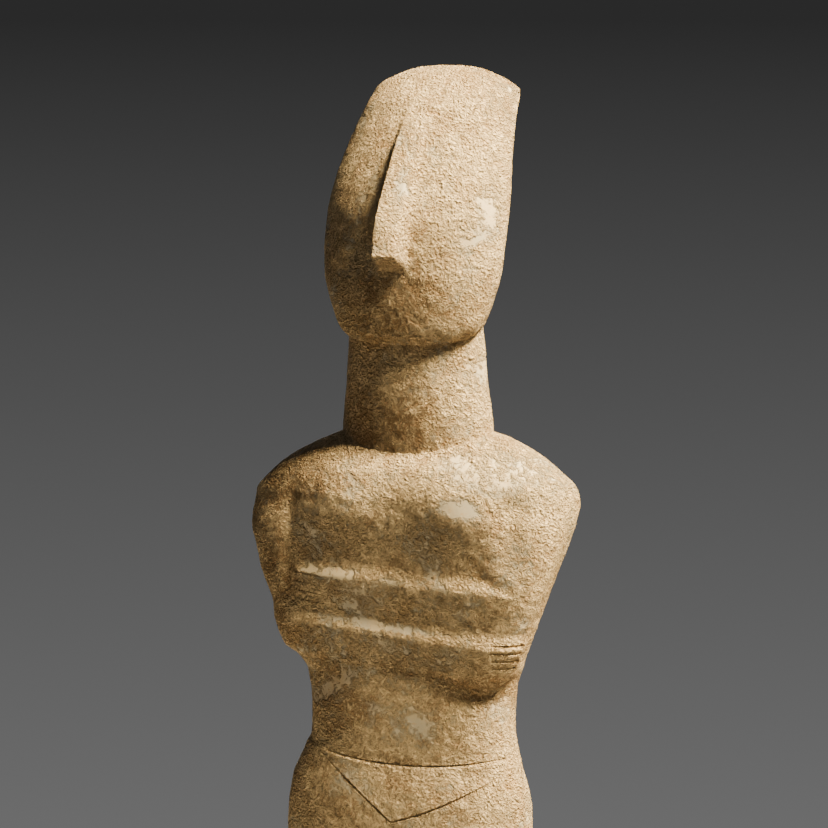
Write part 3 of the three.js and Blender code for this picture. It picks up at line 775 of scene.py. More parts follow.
@dataclass
class Figurine:
    """The whole marble figure, carved as one piece."""

    place: Place
    body_bands: tuple[tuple[float, float, float], ...] = (
        (0.0, 66.0, 1.9),
        (66.0, 473.0, 3.2),
        (473.0, 580.0, 1.45),
        (580.0, 662.0, 0.85),
        (662.0, 753.0, 1.35),
    )
    head_bands: tuple[tuple[float, float, float], ...] = (
        (0.0, 4.9, 0.14),
        (4.9, 6.1, 0.07),
        (6.1, 11.0, 0.11),
        (11.0, 14.0, 0.085),
    )
    body_columns: Columns = Columns(84, 13, 30, 9)
    head_columns: Columns = Columns(62, 10, 20, 7, crowd=0.45)
    neck_columns: Columns = Columns(44, 9, 18, 6)
    neck_gap: float = 2.4
    crown_arch: float = 2.6
    cheek_slant: float = 0.32
    cheek_widening: float = 2.0
    cheek_rows: Pair = (4.0, 6.5)
    face_edge: Pair = (0.2, 0.8)
    line: Groove = Groove(0.95, 2.0)
    line_depth: float = 1.05
    line_fade: Pair = (0.2, 5.0)
    left_hand: Hand = Hand((-76.0, 651.0), -54.0, -3.0, 6.2, 0.7, Groove(1.6, 1.6))
    right_hand: Hand = Hand((90.0, 606.0), 72.0, 1.0, 5.4, 1.7, Groove(1.1, 1.8))
    wrist_share: float = 0.3
    toe_depth: float = 2.6
    toe_fade: float = 0.7
    toe_first: float = 12.0
    toe_pitch: float = 7.5
    toe_gather: float = 0.96
    toe_ends: Pair = (-6.0, 22.0)
    cleft: Groove = Groove(0.42)
    cleft_share: float = 0.22
    cleft_fade: float = 120.0
    cleft_toes: float = -14.0
    cleft_fork: float = 473.0
    cleft_seat: float = 498.0
    apex: Pair = (-2.0, 480.5)
    triangle_right: Pair = (-61.0, 526.0)
    triangle_left: Pair = (72.0, 514.0)
    triangle_bow: float = 4.0
    belly_ends: Pair = (-65.0, 76.0)
    spine_ends: Pair = (514.0, 728.0)
    seat_line_half: float = 66.0
    seat_line_level: float = 528.0
    seat_line_bow: float = 6.0
    line_steps: int = 60
    seat_steps: int = 50
    finger_steps: int = 10
    toe_steps: int = 8

    def __post_init__(self) -> None:
        """Sets the templates that the methods share."""
        self.sections = Sections()
        self.body_template = Template(BODY_STATIONS)
        self.neck_template = Template(NECK_STATIONS)
        self.head_template = Template(HEAD_STATIONS)
        self.relief = BodyRelief()
        self.nose = Nose()

    def body_points(self, z: Array, turn: Array, front: Array) -> tuple[Array, Array]:
        """Places on the carved body.

        Args:
            z: template heights.
            turn: where round the section.
            front: whether in front.

        Returns:
            The points as x, f and z, and the outward directions in the plane of the section.
        """
        values = (self.body_template.at(k, z) for k in range(1, 8))
        right, left, ahead, behind, side, tilt, square = values
        half = np.where(turn < 0.0, right, left)
        depth = np.where(front, ahead - side, side - behind)
        square = np.where(front, square + self.relief.flatness(z), square)
        x, f, rise, out_x, out_f = self.sections.point(turn, front, half, depth, square)
        relief = np.where(front, self.relief.front(x, z), self.relief.back(x, z))
        relief = relief * smooth(0.0, 0.5, rise)
        points = np.stack([x + out_x * relief, side + f + out_f * relief, z + tilt * x], axis=-1)
        return points, np.stack([out_x, out_f], axis=-1)

    def body(self) -> bpy.types.Object:
        """The body from the toes to the root of the neck.

        Returns:
            A closed mesh.
        """
        turn, front = self.body_columns.ring()
        z = heights(self.body_bands)
        grid_z, grid_turn = np.meshgrid(z, turn, indexing="ij")
        points, _ = self.body_points(grid_z, grid_turn, np.broadcast_to(front, grid_z.shape))
        return skin("figurine", self.place.metres(points))

    def neck(self) -> bpy.types.Object:
        """The neck, from inside the shoulders to inside the head.

        Returns:
            A closed mesh.
        """
        turn, front = self.neck_columns.ring()
        low, high = NECK_STATIONS[0][0], NECK_STATIONS[-1][0]
        z, turn = np.meshgrid(heights(((low, high, self.neck_gap),)), turn, indexing="ij")
        values = (self.neck_template.at(k, z) for k in range(1, 8))
        right, left, ahead, behind, side, _, square = values
        front = np.broadcast_to(front, z.shape)
        depth = np.where(front, ahead - side, side - behind)
        half = np.where(turn < 0.0, right, left)
        x, f, *_ = self.sections.point(turn, front, half, depth, square)
        return skin("neck", self.place.metres(np.stack([x, side + f, z], axis=-1)))

    def head(self) -> bpy.types.Object:
        """The head with its nose.

        Returns:
            A closed mesh.
        """
        turn, front = self.head_columns.ring()
        row, turn = np.meshgrid(heights(self.head_bands), turn, indexing="ij")
        values = (self.head_template.at(k, row) for k in range(1, 9))
        z, half, side, ahead, behind, rise, pitch, square = values
        front = np.broadcast_to(front, row.shape)
        cheek = np.where(turn < 0.0, smooth(*self.cheek_rows, row), 0.0)
        half = half + self.cheek_widening * cheek
        square = np.where(front, square * (1.0 - self.cheek_slant * cheek), square)
        depth = np.where(front, ahead, behind)
        x, f, share, *_ = self.sections.point(turn, front, half, depth, square)
        f = side + f
        z = z + rise * (1.0 - np.abs(x / half) ** self.crown_arch) - pitch * f
        face = np.where(front, smooth(*self.face_edge, share), 0.0)
        f = f + face * self.nose.height(x, z)
        return skin("head", self.place.metres(np.stack([x, f, z], axis=-1)))

    def on_body(self, x: float, z: float, front: bool) -> tuple[Vector, Vector]:
        """The place on the front or back of the body at a true height.

        Args:
            x: distance to the figure's left.
            z: true height.
            front: whether in front.

        Returns:
            The point and the way out of the body, both as x, f and z.
        """
        row = z
        for _ in range(3):
            row = z - float(self.body_template.at(6, np.array(row))) * x
        half = float(self.body_template.at(1 if x < 0 else 2, np.array(row)))
        turn = np.array(self.sections.turn(x, half))
        point, out = self.body_points(np.array(row), turn, np.array(front))
        return Vector((point[0], point[1], z)), Vector((out[0], out[1], 0.0))

    def cutter(
        self, groove: Groove, line: Line, cut: Depth, count: int, front: bool = True
    ) -> bpy.types.Object:
        """A V-shaped cutter along a line on the body.

        Args:
            groove: the section of the cut.
            line: gives x and z for a share of the line's length.
            cut: gives the depth for a share of its length.
            count: how many steps the line has.
            front: whether it lies in front.

        Returns:
            The cutter as a closed mesh.
        """
        rings = []
        for share in np.linspace(0.0, 1.0, count + 1):
            point, out = self.on_body(*line(share), front)
            ahead = self.on_body(*line(min(share + SPAN, 1.0)), front)[0]
            behind = self.on_body(*line(max(share - SPAN, 0.0)), front)[0]
            forward = (ahead - behind).normalized()
            out = (out - forward * out.dot(forward)).normalized()
            across = forward.cross(out) * groove.flank * (cut(share) + groove.proud)
            proud = point + out * groove.proud
            rings.append([point - out * cut(share), proud + across, proud - across])
        return skin("cutter", self.place.metres(np.array(rings)))

    def straight(self, start: Pair, end: Pair, bow: float = 0.0) -> Line:
        """A line between two places.

        Args:
            start: x and z of its first end.
            end: x and z of its other end.
            bow: how far it hangs down at its middle.

        Returns:
            What gives x and z for a share of its length.
        """
        (x0, z0), (x1, z1) = start, end
        return lambda s: (x0 + (x1 - x0) * s, z0 + (z1 - z0) * s - 4.0 * bow * s * (1.0 - s))

    def fading(self, share: float) -> float:
        """Depth of an incised line, less at both ends."""
        least, gain = self.line_fade
        return self.line_depth * (least + (1.0 - least) * min(1.0, gain * share, gain * (1.0 - share)))

    def belly(self, share: float) -> Pair:
        """A place on the line under the belly, by a share of its length."""
        x = self.belly_ends[0] + (self.belly_ends[1] - self.belly_ends[0]) * share
        return x, float(self.relief.belly_line(np.array(x)))

    def triangle(self, share: float) -> Pair:
        """A place on the two lines below the belly, which meet at the apex, by a share of their length.

        Args:
            share: 0 at the right end and 1 at the left one.

        Returns:
            x and z of the place.
        """
        right = self.straight(self.triangle_right, self.apex)
        left = self.straight(self.apex, self.triangle_left, self.triangle_bow)
        return right(2.0 * share) if share < 0.5 else left(2.0 * share - 1.0)

    def fingers(self, hand: Hand) -> list[bpy.types.Object]:
        """The cuts that part the fingers of one hand.

        Args:
            hand: where they lie.

        Returns:
            Their cutters.
        """
        cutters, fade = [], 1.0 - self.wrist_share
        for i in range(DIGIT_CUTS):
            z = hand.tip[1] - i * hand.pitch
            line = self.straight((hand.tip[0], z), (hand.wrist, z + hand.rise))
            depth: Depth = lambda s: hand.depth * (1.0 - fade * s)
            cutters.append(self.cutter(hand.cut, line, depth, self.finger_steps))
        return cutters

    def toes(self, outer: float) -> list[bpy.types.Object]:
        """The cuts that part the toes of one foot.

        Args:
            outer: 1 for the left foot and -1 for the right one.

        Returns:
            Their cutters.
        """
        cutters, (low, high) = [], self.toe_ends
        for i in range(DIGIT_CUTS):
            x = outer * (self.toe_first + i * self.toe_pitch)
            line = self.straight((x, low), (self.toe_gather * x, high))
            depth: Depth = lambda s: self.toe_depth * (1.0 - self.toe_fade * s)
            cutters.append(self.cutter(self.line, line, depth, self.toe_steps))
        return cutters

    def leg_cleft(self, top: float, top_x: float, front: bool) -> bpy.types.Object:
        """The cleft between the legs.

        Args:
            top: height of its upper end.
            top_x: how far to the left the upper end is.
            front: whether it lies in front.

        Returns:
            Its cutter.
        """
        low = self.cleft_toes

        def depth(share: float) -> float:
            """Depth of the cleft at a share of its length."""
            z = np.array(low + (top - low) * share)
            thickness = self.body_template.at(3, z) - self.body_template.at(4, z)
            share_there = self.cleft_share * (1.0 - smooth(top - self.cleft_fade, top, z))
            return float(self.line_depth + thickness * share_there)

        line = self.straight((0.0, low), (top_x, top))
        return self.cutter(self.cleft, line, depth, self.line_steps, front)

    def cutters(self) -> list[bpy.types.Object]:
        """Every incised line and cleft of the body.

        Returns:
            Their cutters.
        """
        low, high = self.spine_ends
        spine = self.straight((0.0, low), (0.0, high))
        half, level = self.seat_line_half, self.seat_line_level
        waist = self.straight((-half, level), (half, level), self.seat_line_bow)
        return [
            self.cutter(self.line, self.belly, self.fading, self.line_steps),
            self.cutter(self.line, self.triangle, self.fading, self.line_steps),
            self.cutter(self.line, spine, self.fading, self.line_steps, False),
            self.cutter(self.line, waist, self.fading, self.seat_steps, False),
            self.leg_cleft(self.cleft_fork, -1.0, True),
            self.leg_cleft(self.cleft_seat, 0.0, False),
            *self.fingers(self.left_hand),
            *self.fingers(self.right_hand),
            *self.toes(1.0),
            *self.toes(-1.0),
        ]

    def build(self) -> bpy.types.Object:
        """The carved figure as one closed mesh, before it is weathered.

        Returns:
            The mesh's object.
        """
        figure = self.body()
        combine(figure, [self.neck(), self.head()], Operation.JOIN)
        combine(figure, self.cutters(), Operation.CUT)
        return figure


@dataclass(frozen=True)
class Spot:
    """A place on the front: its middle, how far it reaches, how it leans and how strong it is."""

    x: float
    z: float
    wide: float
    high: float
    lean: float = 0.0
    strength: float = 1.0
    edge: Pair = (0.35, 1.25)

    def share(self, x: Array, z: Array) -> Array:
        """The spot's strength at each place, nothing past its edge.

        Args:
            x: distances to the figure's left.
            z: heights.

        Returns:
            The strength at each place.
        """
        across = (x - self.x) / self.wide
        along = (z - self.z - self.lean * (x - self.x)) / self.high
        return self.strength * (1.0 - smooth(*self.edge, np.hypot(across, along)))


# Where the crust has worn or flaked off
WORN_SPOTS: tuple[Spot, ...] = (
    Spot(50, 701, 17, 9),
    Spot(-31, 713, 12, 8, strength=0.8),
    Spot(58, 900, 9, 30, strength=0.8),
    Spot(50, 872, 8, 16, strength=0.8),
    Spot(21, 938, 7, 24, -0.3, 0.7),
    Spot(4, 912, 6, 36, -0.1, 0.8),
    Spot(48, 788, 8, 15),
    Spot(-36, 557, 42, 26, strength=0.7),
    Spot(10, 545, 30, 18, strength=0.6),
    Spot(-30, 503, 26, 12, strength=0.7),
    Spot(30, 505, 18, 8, strength=0.6),
    Spot(-30, 650, 50, 6, -0.05, 0.8),
    Spot(-10, 617, 60, 4, -0.085, 0.8),
)

# Spots where the crust is painted lighter, above 0, or darker brown, below 0. Most are painted light and
# shade: the lighter ones are painted highlights on the side that the key lamp lights, the darker ones
# painted shade on the far side and under the chin, forearm and hand. The spot at the root of the neck is
# brown stain.
PAINTED_LIGHT_AND_CRUST_TONES: tuple[Spot, ...] = (
    Spot(-6, 756, 52, 26, strength=-0.8),
    Spot(4, 842, 56, 26, strength=-0.6),
    Spot(-46, 910, 30, 66, strength=-0.2),
    Spot(-86, 720, 44, 24, strength=-1.0),
    Spot(-98, 650, 22, 60, strength=-0.7),
    Spot(30, 588, 60, 16, -0.05, -0.4),
    Spot(66, 573, 28, 14, strength=-1.0),
    Spot(-48, 560, 40, 32, strength=-0.8),
    Spot(-30, 712, 40, 22, strength=-0.3),
    Spot(6, 500, 60, 24, strength=-0.35),
    Spot(40, 930, 40, 46, strength=0.7),
    Spot(52, 880, 22, 30, strength=0.8),
    Spot(84, 722, 48, 26, strength=1.0),
    Spot(104, 690, 26, 30, strength=0.6),
    Spot(50, 790, 18, 40, strength=0.6),
    Spot(70, 480, 26, 26, strength=0.6),
)


@dataclass(frozen=True)
class Weathering:
    """Crust, worn spots, brown deposits with painted shade in the creases, and spots of painted light
    and shade, held in the mesh as attributes and as fine relief.
    """

    place: Place
    pit_depth: float = 0.00032
    pit_size: float = 0.0042
    pit_layers: float = 3.0
    pit_rough: float = 0.6
    pit_range: Pair = (0.35, 0.65)
    rubbed: float = 0.9
    seed: float = 7.0
    spread_rounds: int = 3
    spread_share: float = 0.55
    crease_gain: float = 7.0
    shortest: float = 3e-4
    front_edge: Pair = (-45.0, -25.0)
    head_lean: float = 0.45
    lean_from: float = 900.0

    def worn(self, carving: Array) -> Array:
        """How far the crust is gone at each point in front, from 0 to 1.

        Args:
            carving: points as x, f and z.

        Returns:
            The share at each point.
        """
        x, f, z = carving.T
        total = np.maximum.reduce([spot.share(x, z) for spot in WORN_SPOTS])
        return total * self.in_front(f, z)

    def in_front(self, f: Array, z: Array) -> Array:
        """1 on the front and 0 on the back, for a head that leans back."""
        return smooth(*self.front_edge, f + self.head_lean * np.maximum(z - self.lean_from, 0.0))

    def painted_light_and_tone(self, carving: Array) -> Array:
        """Painted light and shade, with some brown stain: how far the crust is painted lighter or darker
        brown at each point, from -1 to 1.

        Args:
            carving: points as x, f and z.

        Returns:
            The painted light and shade at each point.
        """
        x, f, z = carving.T
        total = np.sum([spot.share(x, z) for spot in PAINTED_LIGHT_AND_CRUST_TONES], axis=0)
        return np.clip(total, -1.0, 1.0) * self.in_front(f, z)

    def hollows(self, obj: bpy.types.Object) -> Array:
        """How deep each vertex lies in a crease, from 0 to 1.

        Args:
            obj: the carved figure.

        Returns:
            The share at each vertex.
        """
        mesh = obj.data
        count = len(mesh.vertices)
        edges = read(mesh.edges, "vertices", 2, np.int32)
        points, normals = read(mesh.vertices, "co", 3), read(mesh.vertex_normals, "vector", 3)
        a, b = edges[:, 0], edges[:, 1]
        span = points[b] - points[a]
        length = np.maximum(np.linalg.norm(span, axis=1), self.shortest)
        rise_a = np.einsum("ij,ij->i", span, normals[a]) / length
        rise_b = -np.einsum("ij,ij->i", span, normals[b]) / length
        degree = np.bincount(edges.ravel(), minlength=count)
        value = np.bincount(a, rise_a, count) + np.bincount(b, rise_b, count)
        value = np.maximum(value / np.maximum(degree, 1), 0.0)
        for _ in range(self.spread_rounds):
            total = np.bincount(a, value[b], count) + np.bincount(b, value[a], count)
            share = self.spread_share
            value = (1.0 - share) * value + share * total / np.maximum(degree, 1)
        return np.clip(value * self.crease_gain, 0.0, 1.0)

    def mark(self, obj: bpy.types.Object) -> None:
        """Writes the worn share, the hollow share and the painted light and shade of each vertex to the
        mesh.

        Args:
            obj: the carved figure.
        """
        carving = self.place.carving(read(obj.data.vertices, "co", 3))
        worn, painted_light_and_tone = self.worn(carving), self.painted_light_and_tone(carving)
        shares = {"worn": worn, "hollow": self.hollows(obj), "painted_light_and_tone": painted_light_and_tone}
        for name, values in shares.items():
            attribute = obj.data.attributes.new(name, "FLOAT", "POINT")
            attribute.data.foreach_set("value", values.astype(np.float32))

    def tree(self) -> bpy.types.GeometryNodeTree:
        """Node group that pits the crust inwards by noise and sets the material.

        Returns:
            The group, with inputs for pit depth, pit size, seed and material.
        """
        tree = bpy.data.node_groups.new("crust_pits", "GeometryNodeTree")
        kinds = {"Geometry": "Geometry", "Pit depth": "Float", "Pit size": "Float", "Seed": "Float"}
        for name, kind in (kinds | {"Material": "Material"}).items():
            tree.interface.new_socket(name, in_out="INPUT", socket_type=f"NodeSocket{kind}")
        tree.interface.new_socket("Geometry", in_out="OUTPUT", socket_type="NodeSocketGeometry")
        graph = Graph(tree)
        given = graph.add("NodeGroupInput", {}).outputs
        noise = {"Scale": graph.math("DIVIDE", 1.0, given["Pit size"]), "W": given["Seed"]}
        noise |= {"Detail": self.pit_layers, "Roughness": self.pit_rough}
        lumps = graph.add("ShaderNodeTexNoise", noise, noise_dimensions="4D").outputs["Fac"]
        low, high = self.pit_range
        pits = graph.add("ShaderNodeMapRange", {"From Min": low, "From Max": high, "Value": lumps})
        worn = graph.add("GeometryNodeInputNamedAttribute", {"Name": "worn"}, data_type="FLOAT")
        rub = {"Factor": worn.outputs["Attribute"], "A": pits.outputs["Result"], "B": self.rubbed}
        rubbed = graph.add("ShaderNodeMix", rub, data_type="FLOAT").outputs["Result"]
        depth = graph.math("MULTIPLY", rubbed, given["Pit depth"])
        push = {"Scale": graph.math("MULTIPLY", depth, -1.0)}
        push["Vector"] = graph.add("GeometryNodeInputNormal", {}).outputs["Normal"]
        offset = graph.add("ShaderNodeVectorMath", push, operation="SCALE").outputs["Vector"]
        move = {"Geometry": given["Geometry"], "Offset": offset}
        shape = graph.add("GeometryNodeSetPosition", move).outputs["Geometry"]
        shape = graph.add("GeometryNodeRealizeInstances", {"Geometry": shape}).outputs["Geometry"]
        finish = {"Geometry": shape, "Material": given["Material"]}
        shape = graph.add("GeometryNodeSetMaterial", finish).outputs["Geometry"]
        graph.add("NodeGroupOutput", {"Geometry": shape})
        return tree

    def apply(self, obj: bpy.types.Object, material: bpy.types.Material) -> None:
        """Weathers the figure.

        Args:
            obj: the carved figure.
            material: its finish.
        """
        self.mark(obj)
        paint(obj, material)
        modifier = obj.modifiers.new("crust_pits", "NODES")
        modifier.node_group = self.tree()
        values = {"Pit depth": self.pit_depth, "Pit size": self.pit_size, "Seed": self.seed}
        values["Material"] = material
        for item in modifier.node_group.interface.items_tree:
            if item.in_out == "INPUT" and item.name in values:
                modifier[item.identifier] = values[item.name]
        bpy.context.view_layer.update()
        settle(obj)


class Graph:
    """A node tree under construction: short ways to add and join its nodes."""

    def __init__(self, tree: bpy.types.NodeTree) -> None:
        """Takes the tree that it adds to."""
        self.tree = tree

    def add(self, kind: str, inputs: dict[str | int, Value], **settings: str) -> bpy.types.Node:
        """A new node.

        Args:
            kind: its type.
            inputs: a value to set or a socket to join, by the name or number of each input.
            settings: its own settings, made before its inputs are looked up.

        Returns:
            The node.
        """
        node = self.tree.nodes.new(kind)
        for name, setting in settings.items():
            setattr(node, name, setting)
        for name, value in inputs.items():
            if isinstance(value, Socket):
                self.tree.links.new(value, node.inputs[name])
            else:
                node.inputs[name].default_value = value
        return node

    def math(self, operation: str, first: Value, second: Value = 0.0) -> Socket:
        """The result of an operation on two values."""
        return self.add("ShaderNodeMath", {0: first, 1: second}, operation=operation).outputs[0]


@dataclass(frozen=True)
class Cloud:
    """Noise and its mapping: lumps in metres, finer layers and their strength, both ranges and warp."""

    size: float
    detail: float
    rough: float
    read: Pair
    give: Pair = (0.0, 1.0)
    warp: float = 0.0


class Shader(Graph):
    """A material under construction."""

    def __init__(self, name: str) -> None:
        """Starts an empty material of this name with one surface shader.

        Args:
            name: the material's name.
        """
        self.material = bpy.data.materials.new(name)
        self.material.use_nodes = True
        super().__init__(self.material.node_tree)
        self.tree.nodes.clear()
        self.surface = self.add("ShaderNodeBsdfPrincipled", {})
        self.add("ShaderNodeOutputMaterial", {"Surface": self.surface.outputs["BSDF"]})
        self.place = self.add("ShaderNodeTexCoord", {}).outputs["Object"]

    def set_surface(self, colour: Value, roughness: Value, normal: Socket | None = None) -> None:
        """Gives the surface its colour, roughness and, where there is one, its bump.

        Args:
            colour: a socket, or the colour's four numbers.
            roughness: a socket or a number.
            normal: the bump's socket, or None for a plain surface.
        """
        for name, value in {"Base Color": colour, "Roughness": roughness, "Normal": normal}.items():
            if isinstance(value, Socket):
                self.tree.links.new(value, self.surface.inputs[name])
            elif value is not None:
                self.surface.inputs[name].default_value = value

    def noise(self, size: float, detail: float, rough: float, warp: float = 0.0) -> Socket:
        """Noise.

        Args:
            size: size of its lumps in metres.
            detail: how many finer layers it has.
            rough: how strong the finer layers are.
            warp: how far it is distorted.

        Returns:
            Its value.
        """
        inputs = {"Scale": 1.0 / size, "Detail": detail, "Roughness": rough, "Distortion": warp}
        inputs["Vector"] = self.place
        return self.add("ShaderNodeTexNoise", inputs).outputs["Fac"]

    def centred(self, value: Socket) -> Socket:
        """A value from 0 to 1 less a half."""
        return self.math("SUBTRACT", value, 0.5)

    def cloud(self, cloud: Cloud) -> Socket:
        """Patches of noise, mapped."""
        noise = self.noise(cloud.size, cloud.detail, cloud.rough, cloud.warp)
        return self.ramp(noise, (cloud.read, cloud.give))

    def vein(self, cloud: Cloud) -> Socket:
        """Winding lines where the noise crosses a half, mapped by how far from it they are."""
        noise = self.noise(cloud.size, cloud.detail, cloud.rough, cloud.warp)
        return self.ramp(self.math("ABSOLUTE", self.centred(noise)), (cloud.read, cloud.give))

    def total(self, *terms: tuple[Socket, float]) -> Socket:
        """Sum of values, each times its weight.

        Args:
            terms: values with their weights.

        Returns:
            The sum.
        """
        first, *others = [self.math("MULTIPLY", value, weight) for value, weight in terms]
        for other in others:
            first = self.math("ADD", first, other)
        return first

    def ramp(self, value: Socket, mapping: Map) -> Socket:
        """A value mapped smoothly from the first range of a mapping to its second one.

        Args:
            value: the value.
            mapping: the two ends that are read and the two that are given.

        Returns:
            The mapped value.
        """
        names = ("From Min", "From Max", "To Min", "To Max")
        inputs = {"Value": value, **dict(zip(names, (*mapping[0], *mapping[1])))}
        return self.add("ShaderNodeMapRange", inputs, interpolation_type="SMOOTHSTEP").outputs["Result"]

    def attribute(self, name: str) -> Socket:
        """A share that the mesh holds at each vertex."""
        return self.add("ShaderNodeAttribute", {}, attribute_name=name).outputs["Fac"]

    def mix(self, share: Socket, first: Value, second: Value) -> Socket:
        """A colour between two colours, by a share.

        Args:
            share: 0 for the first and 1 for the second.
            first: a socket or three numbers.
            second: a socket or three numbers.

        Returns:
            The colour.
        """
        sides = [(*c, 1.0) if isinstance(c, tuple) else c for c in (first, second)]
        inputs = {"Factor": share, "A": sides[0], "B": sides[1]}
        return self.add("ShaderNodeMix", inputs, data_type="RGBA").outputs["Result"]

    def grains(self, size: float, lumps: float, reach: float) -> Socket:
        """Distance inside grains whose outlines are pushed about.

        Args:
            size: size of the grains in metres.
            lumps: size in metres of the noise that pushes them.
            reach: how far they are pushed, in metres.

        Returns:
            The distance from each grain's middle.
        """
        noise = self.add("ShaderNodeTexNoise", {"Scale": 1.0 / lumps, "Vector": self.place})
        push = {0: noise.outputs["Color"], 1: (reach,) * 3, 2: self.place}
        place = self.add("ShaderNodeVectorMath", push, operation="MULTIPLY_ADD").outputs["Vector"]
        cells = {"Scale": 1.0 / size, "Vector": place}
        return self.add("ShaderNodeTexVoronoi", cells, feature="F1").outputs["Distance"]

    def bump(self, height: Socket, distance: float, below: Socket | None = None) -> Socket:
        """A bump.

        Args:
            height: its shape, from 0 to 1.
            distance: its full height in metres.
            below: the bump that it lies on, or None.

        Returns:
            The surface's direction.
        """
        inputs = {"Distance": distance, "Strength": 1.0, "Height": height}
        if below is not None:
            inputs["Normal"] = below
        return self.add("ShaderNodeBump", inputs).outputs["Normal"]


@dataclass(frozen=True)
class CrustedMarble:
    """White marble under a warm, grainy crust, with worn spots, brown deposits and painted shade in the
    creases, painted shade and highlights on the crust's grains, and spots of painted light and shade.
    """

    crust: Colour = (0.61, 0.42, 0.22)
    # crust_pale also serves as painted highlight, and crust_brown as painted shade and brown stain
    crust_pale: Colour = (0.90, 0.665, 0.36)
    crust_brown: Colour = (0.37, 0.225, 0.10)
    crust_ochre: Colour = (0.54, 0.315, 0.12)
    # Dark brown of the crust's cracks, also the painted shade in its low ground between grains
    pit: Colour = (0.31, 0.18, 0.073)
    marble: Colour = (0.66, 0.52, 0.32)
    marble_grey: Colour = (0.56, 0.475, 0.335)
    # Dark brown for the creases: brown deposits there, with painted shade
    crease_deposit_and_shade_colour: Colour = (0.26, 0.15, 0.06)
    specular: float = 0.25
    patches: tuple[float, ...] = (0.026, 5.0, 0.62, 0.5)
    specks: tuple[float, ...] = (0.0028, 4.0, 0.7)
    bare_weights: tuple[float, ...] = (0.16, 1.0, 0.62, -0.2)
    bare: Map = ((0.53, 0.70), (1.0, 0.0))
    worm: Cloud = Cloud(0.0036, 2.0, 0.55, (0.008, 0.07), (1.0, 0.0), 1.4)
    wide_worm: Cloud = Cloud(0.00684, 2.0, 0.55, (0.008, 0.07), (1.0, 0.0), 1.4)
    wide_share: float = 0.8
    grain: tuple[float, ...] = (0.0015, 0.002, 0.0007)
    grain_range: Map = ((0.1, 0.75), (1.0, 0.0))
    plates: Cloud = Cloud(0.0042, 5.0, 0.68, (0.46, 0.56), warp=0.6)
    fine: tuple[float, ...] = (0.00075, 3.0, 0.7)
    height_weights: tuple[float, ...] = (0.5, 0.35, 0.3, 0.35)
    crack: Cloud = Cloud(0.0046, 3.0, 0.6, (0.004, 0.024), (0.6, 0.0), 0.9)
    cracked: Cloud = Cloud(0.01196, 3.0, 0.6, (0.50, 0.62))
    broad: Cloud = Cloud(0.012, 4.0, 0.6, (0.38, 0.64))
    broad_share: float = 0.4
    ochre: Cloud = Cloud(0.034, 5.0, 0.62, (0.50, 0.72), (0.0, 0.7))
    # Mappings of the spots of painted light and shade: lighter spots to painted highlight, darker ones
    # to painted shade on crust and bare marble
    pale_and_painted_highlight: Map = ((0.1, 1.0), (0.0, 0.95))
    brown_and_painted_shade: Map = ((-1.0, -0.1), (0.85, 0.0))
    stone_brown_and_painted_shade: Map = ((-1.0, -0.1), (0.5, 0.0))
    # Painted shade in the crust's low ground and painted highlights on its raised tops, by the bump's
    # height
    painted_pit_shade: Map = ((0.25, 0.62), (0.6, 0.0))
    painted_top_highlight: Map = ((0.70, 1.05), (0.0, 0.8))
    grey: Cloud = Cloud(0.016, 3.0, 0.5, (0.42, 0.60))
    flecks: Cloud = Cloud(0.0016, 4.0, 0.75, (0.56, 0.66), (0.0, 0.6))
    # Patches and reach of the creases' darkening, which is brown deposits with painted shade
    crease_dirt_and_shade: Cloud = Cloud(0.004, 4.0, 0.65, (0.3, 0.62), (0.3, 1.0))
    crease_dirt_and_shade_share: Map = ((0.12, 0.9), (0.0, 0.35))
    roughness: Map = ((0.0, 1.0), (0.55, 0.9))
    raised: float = 0.25
    relief: float = 0.0029
    skin: tuple[float, ...] = (0.0009, 3.0, 0.6)
    skin_relief: float = 0.00005

    def coverage(self, s: Shader) -> Socket:
        """Where the crust lies: 1 on it and 0 on bare marble, broken up into grains along its edges.

        Args:
            s: the material.

        Returns:
            The share of crust.
        """
        specks = s.centred(s.noise(*self.specks))
        parts = (s.attribute("worn"), s.noise(*self.patches), specks, s.attribute("hollow"))
        return s.ramp(s.total(*zip(parts, self.bare_weights)), self.bare)

    def height(self, s: Shader) -> Socket:
        """How high the crust stands: its worms, grains and plates and its fine grain.

        Args:
            s: the material.

        Returns:
            The height.
        """
        wide = s.math("MULTIPLY", s.vein(self.wide_worm), self.wide_share)
        worms = s.math("MAXIMUM", s.vein(self.worm), wide)
        grains = s.ramp(s.grains(*self.grain), self.grain_range)
        parts = (worms, grains, s.cloud(self.plates), s.noise(*self.fine))
        return s.total(*zip(parts, self.height_weights))

    def material(self) -> bpy.types.Material:
        """The finish as a material.

        Returns:
            The new material.
        """
        s = Shader("crusted_marble")
        cover, height, broad = self.coverage(s), self.height(s), s.cloud(self.broad)
        # Spots of painted light and shade, with random variation from the broad cloud
        painted_light_and_tone = s.total((s.attribute("painted_light_and_tone"), 1.0), (s.centred(broad), self.broad_share))
        crust = s.mix(broad, self.crust, self.crust_pale)
        crust = s.mix(s.cloud(self.ochre), crust, self.crust_ochre)
        # Painted highlights where the spots are lighter and painted shade where they are darker, with
        # some brown stain
        crust = s.mix(s.ramp(painted_light_and_tone, self.pale_and_painted_highlight), crust, self.crust_pale)
        crust = s.mix(s.ramp(painted_light_and_tone, self.brown_and_painted_shade), crust, self.crust_brown)
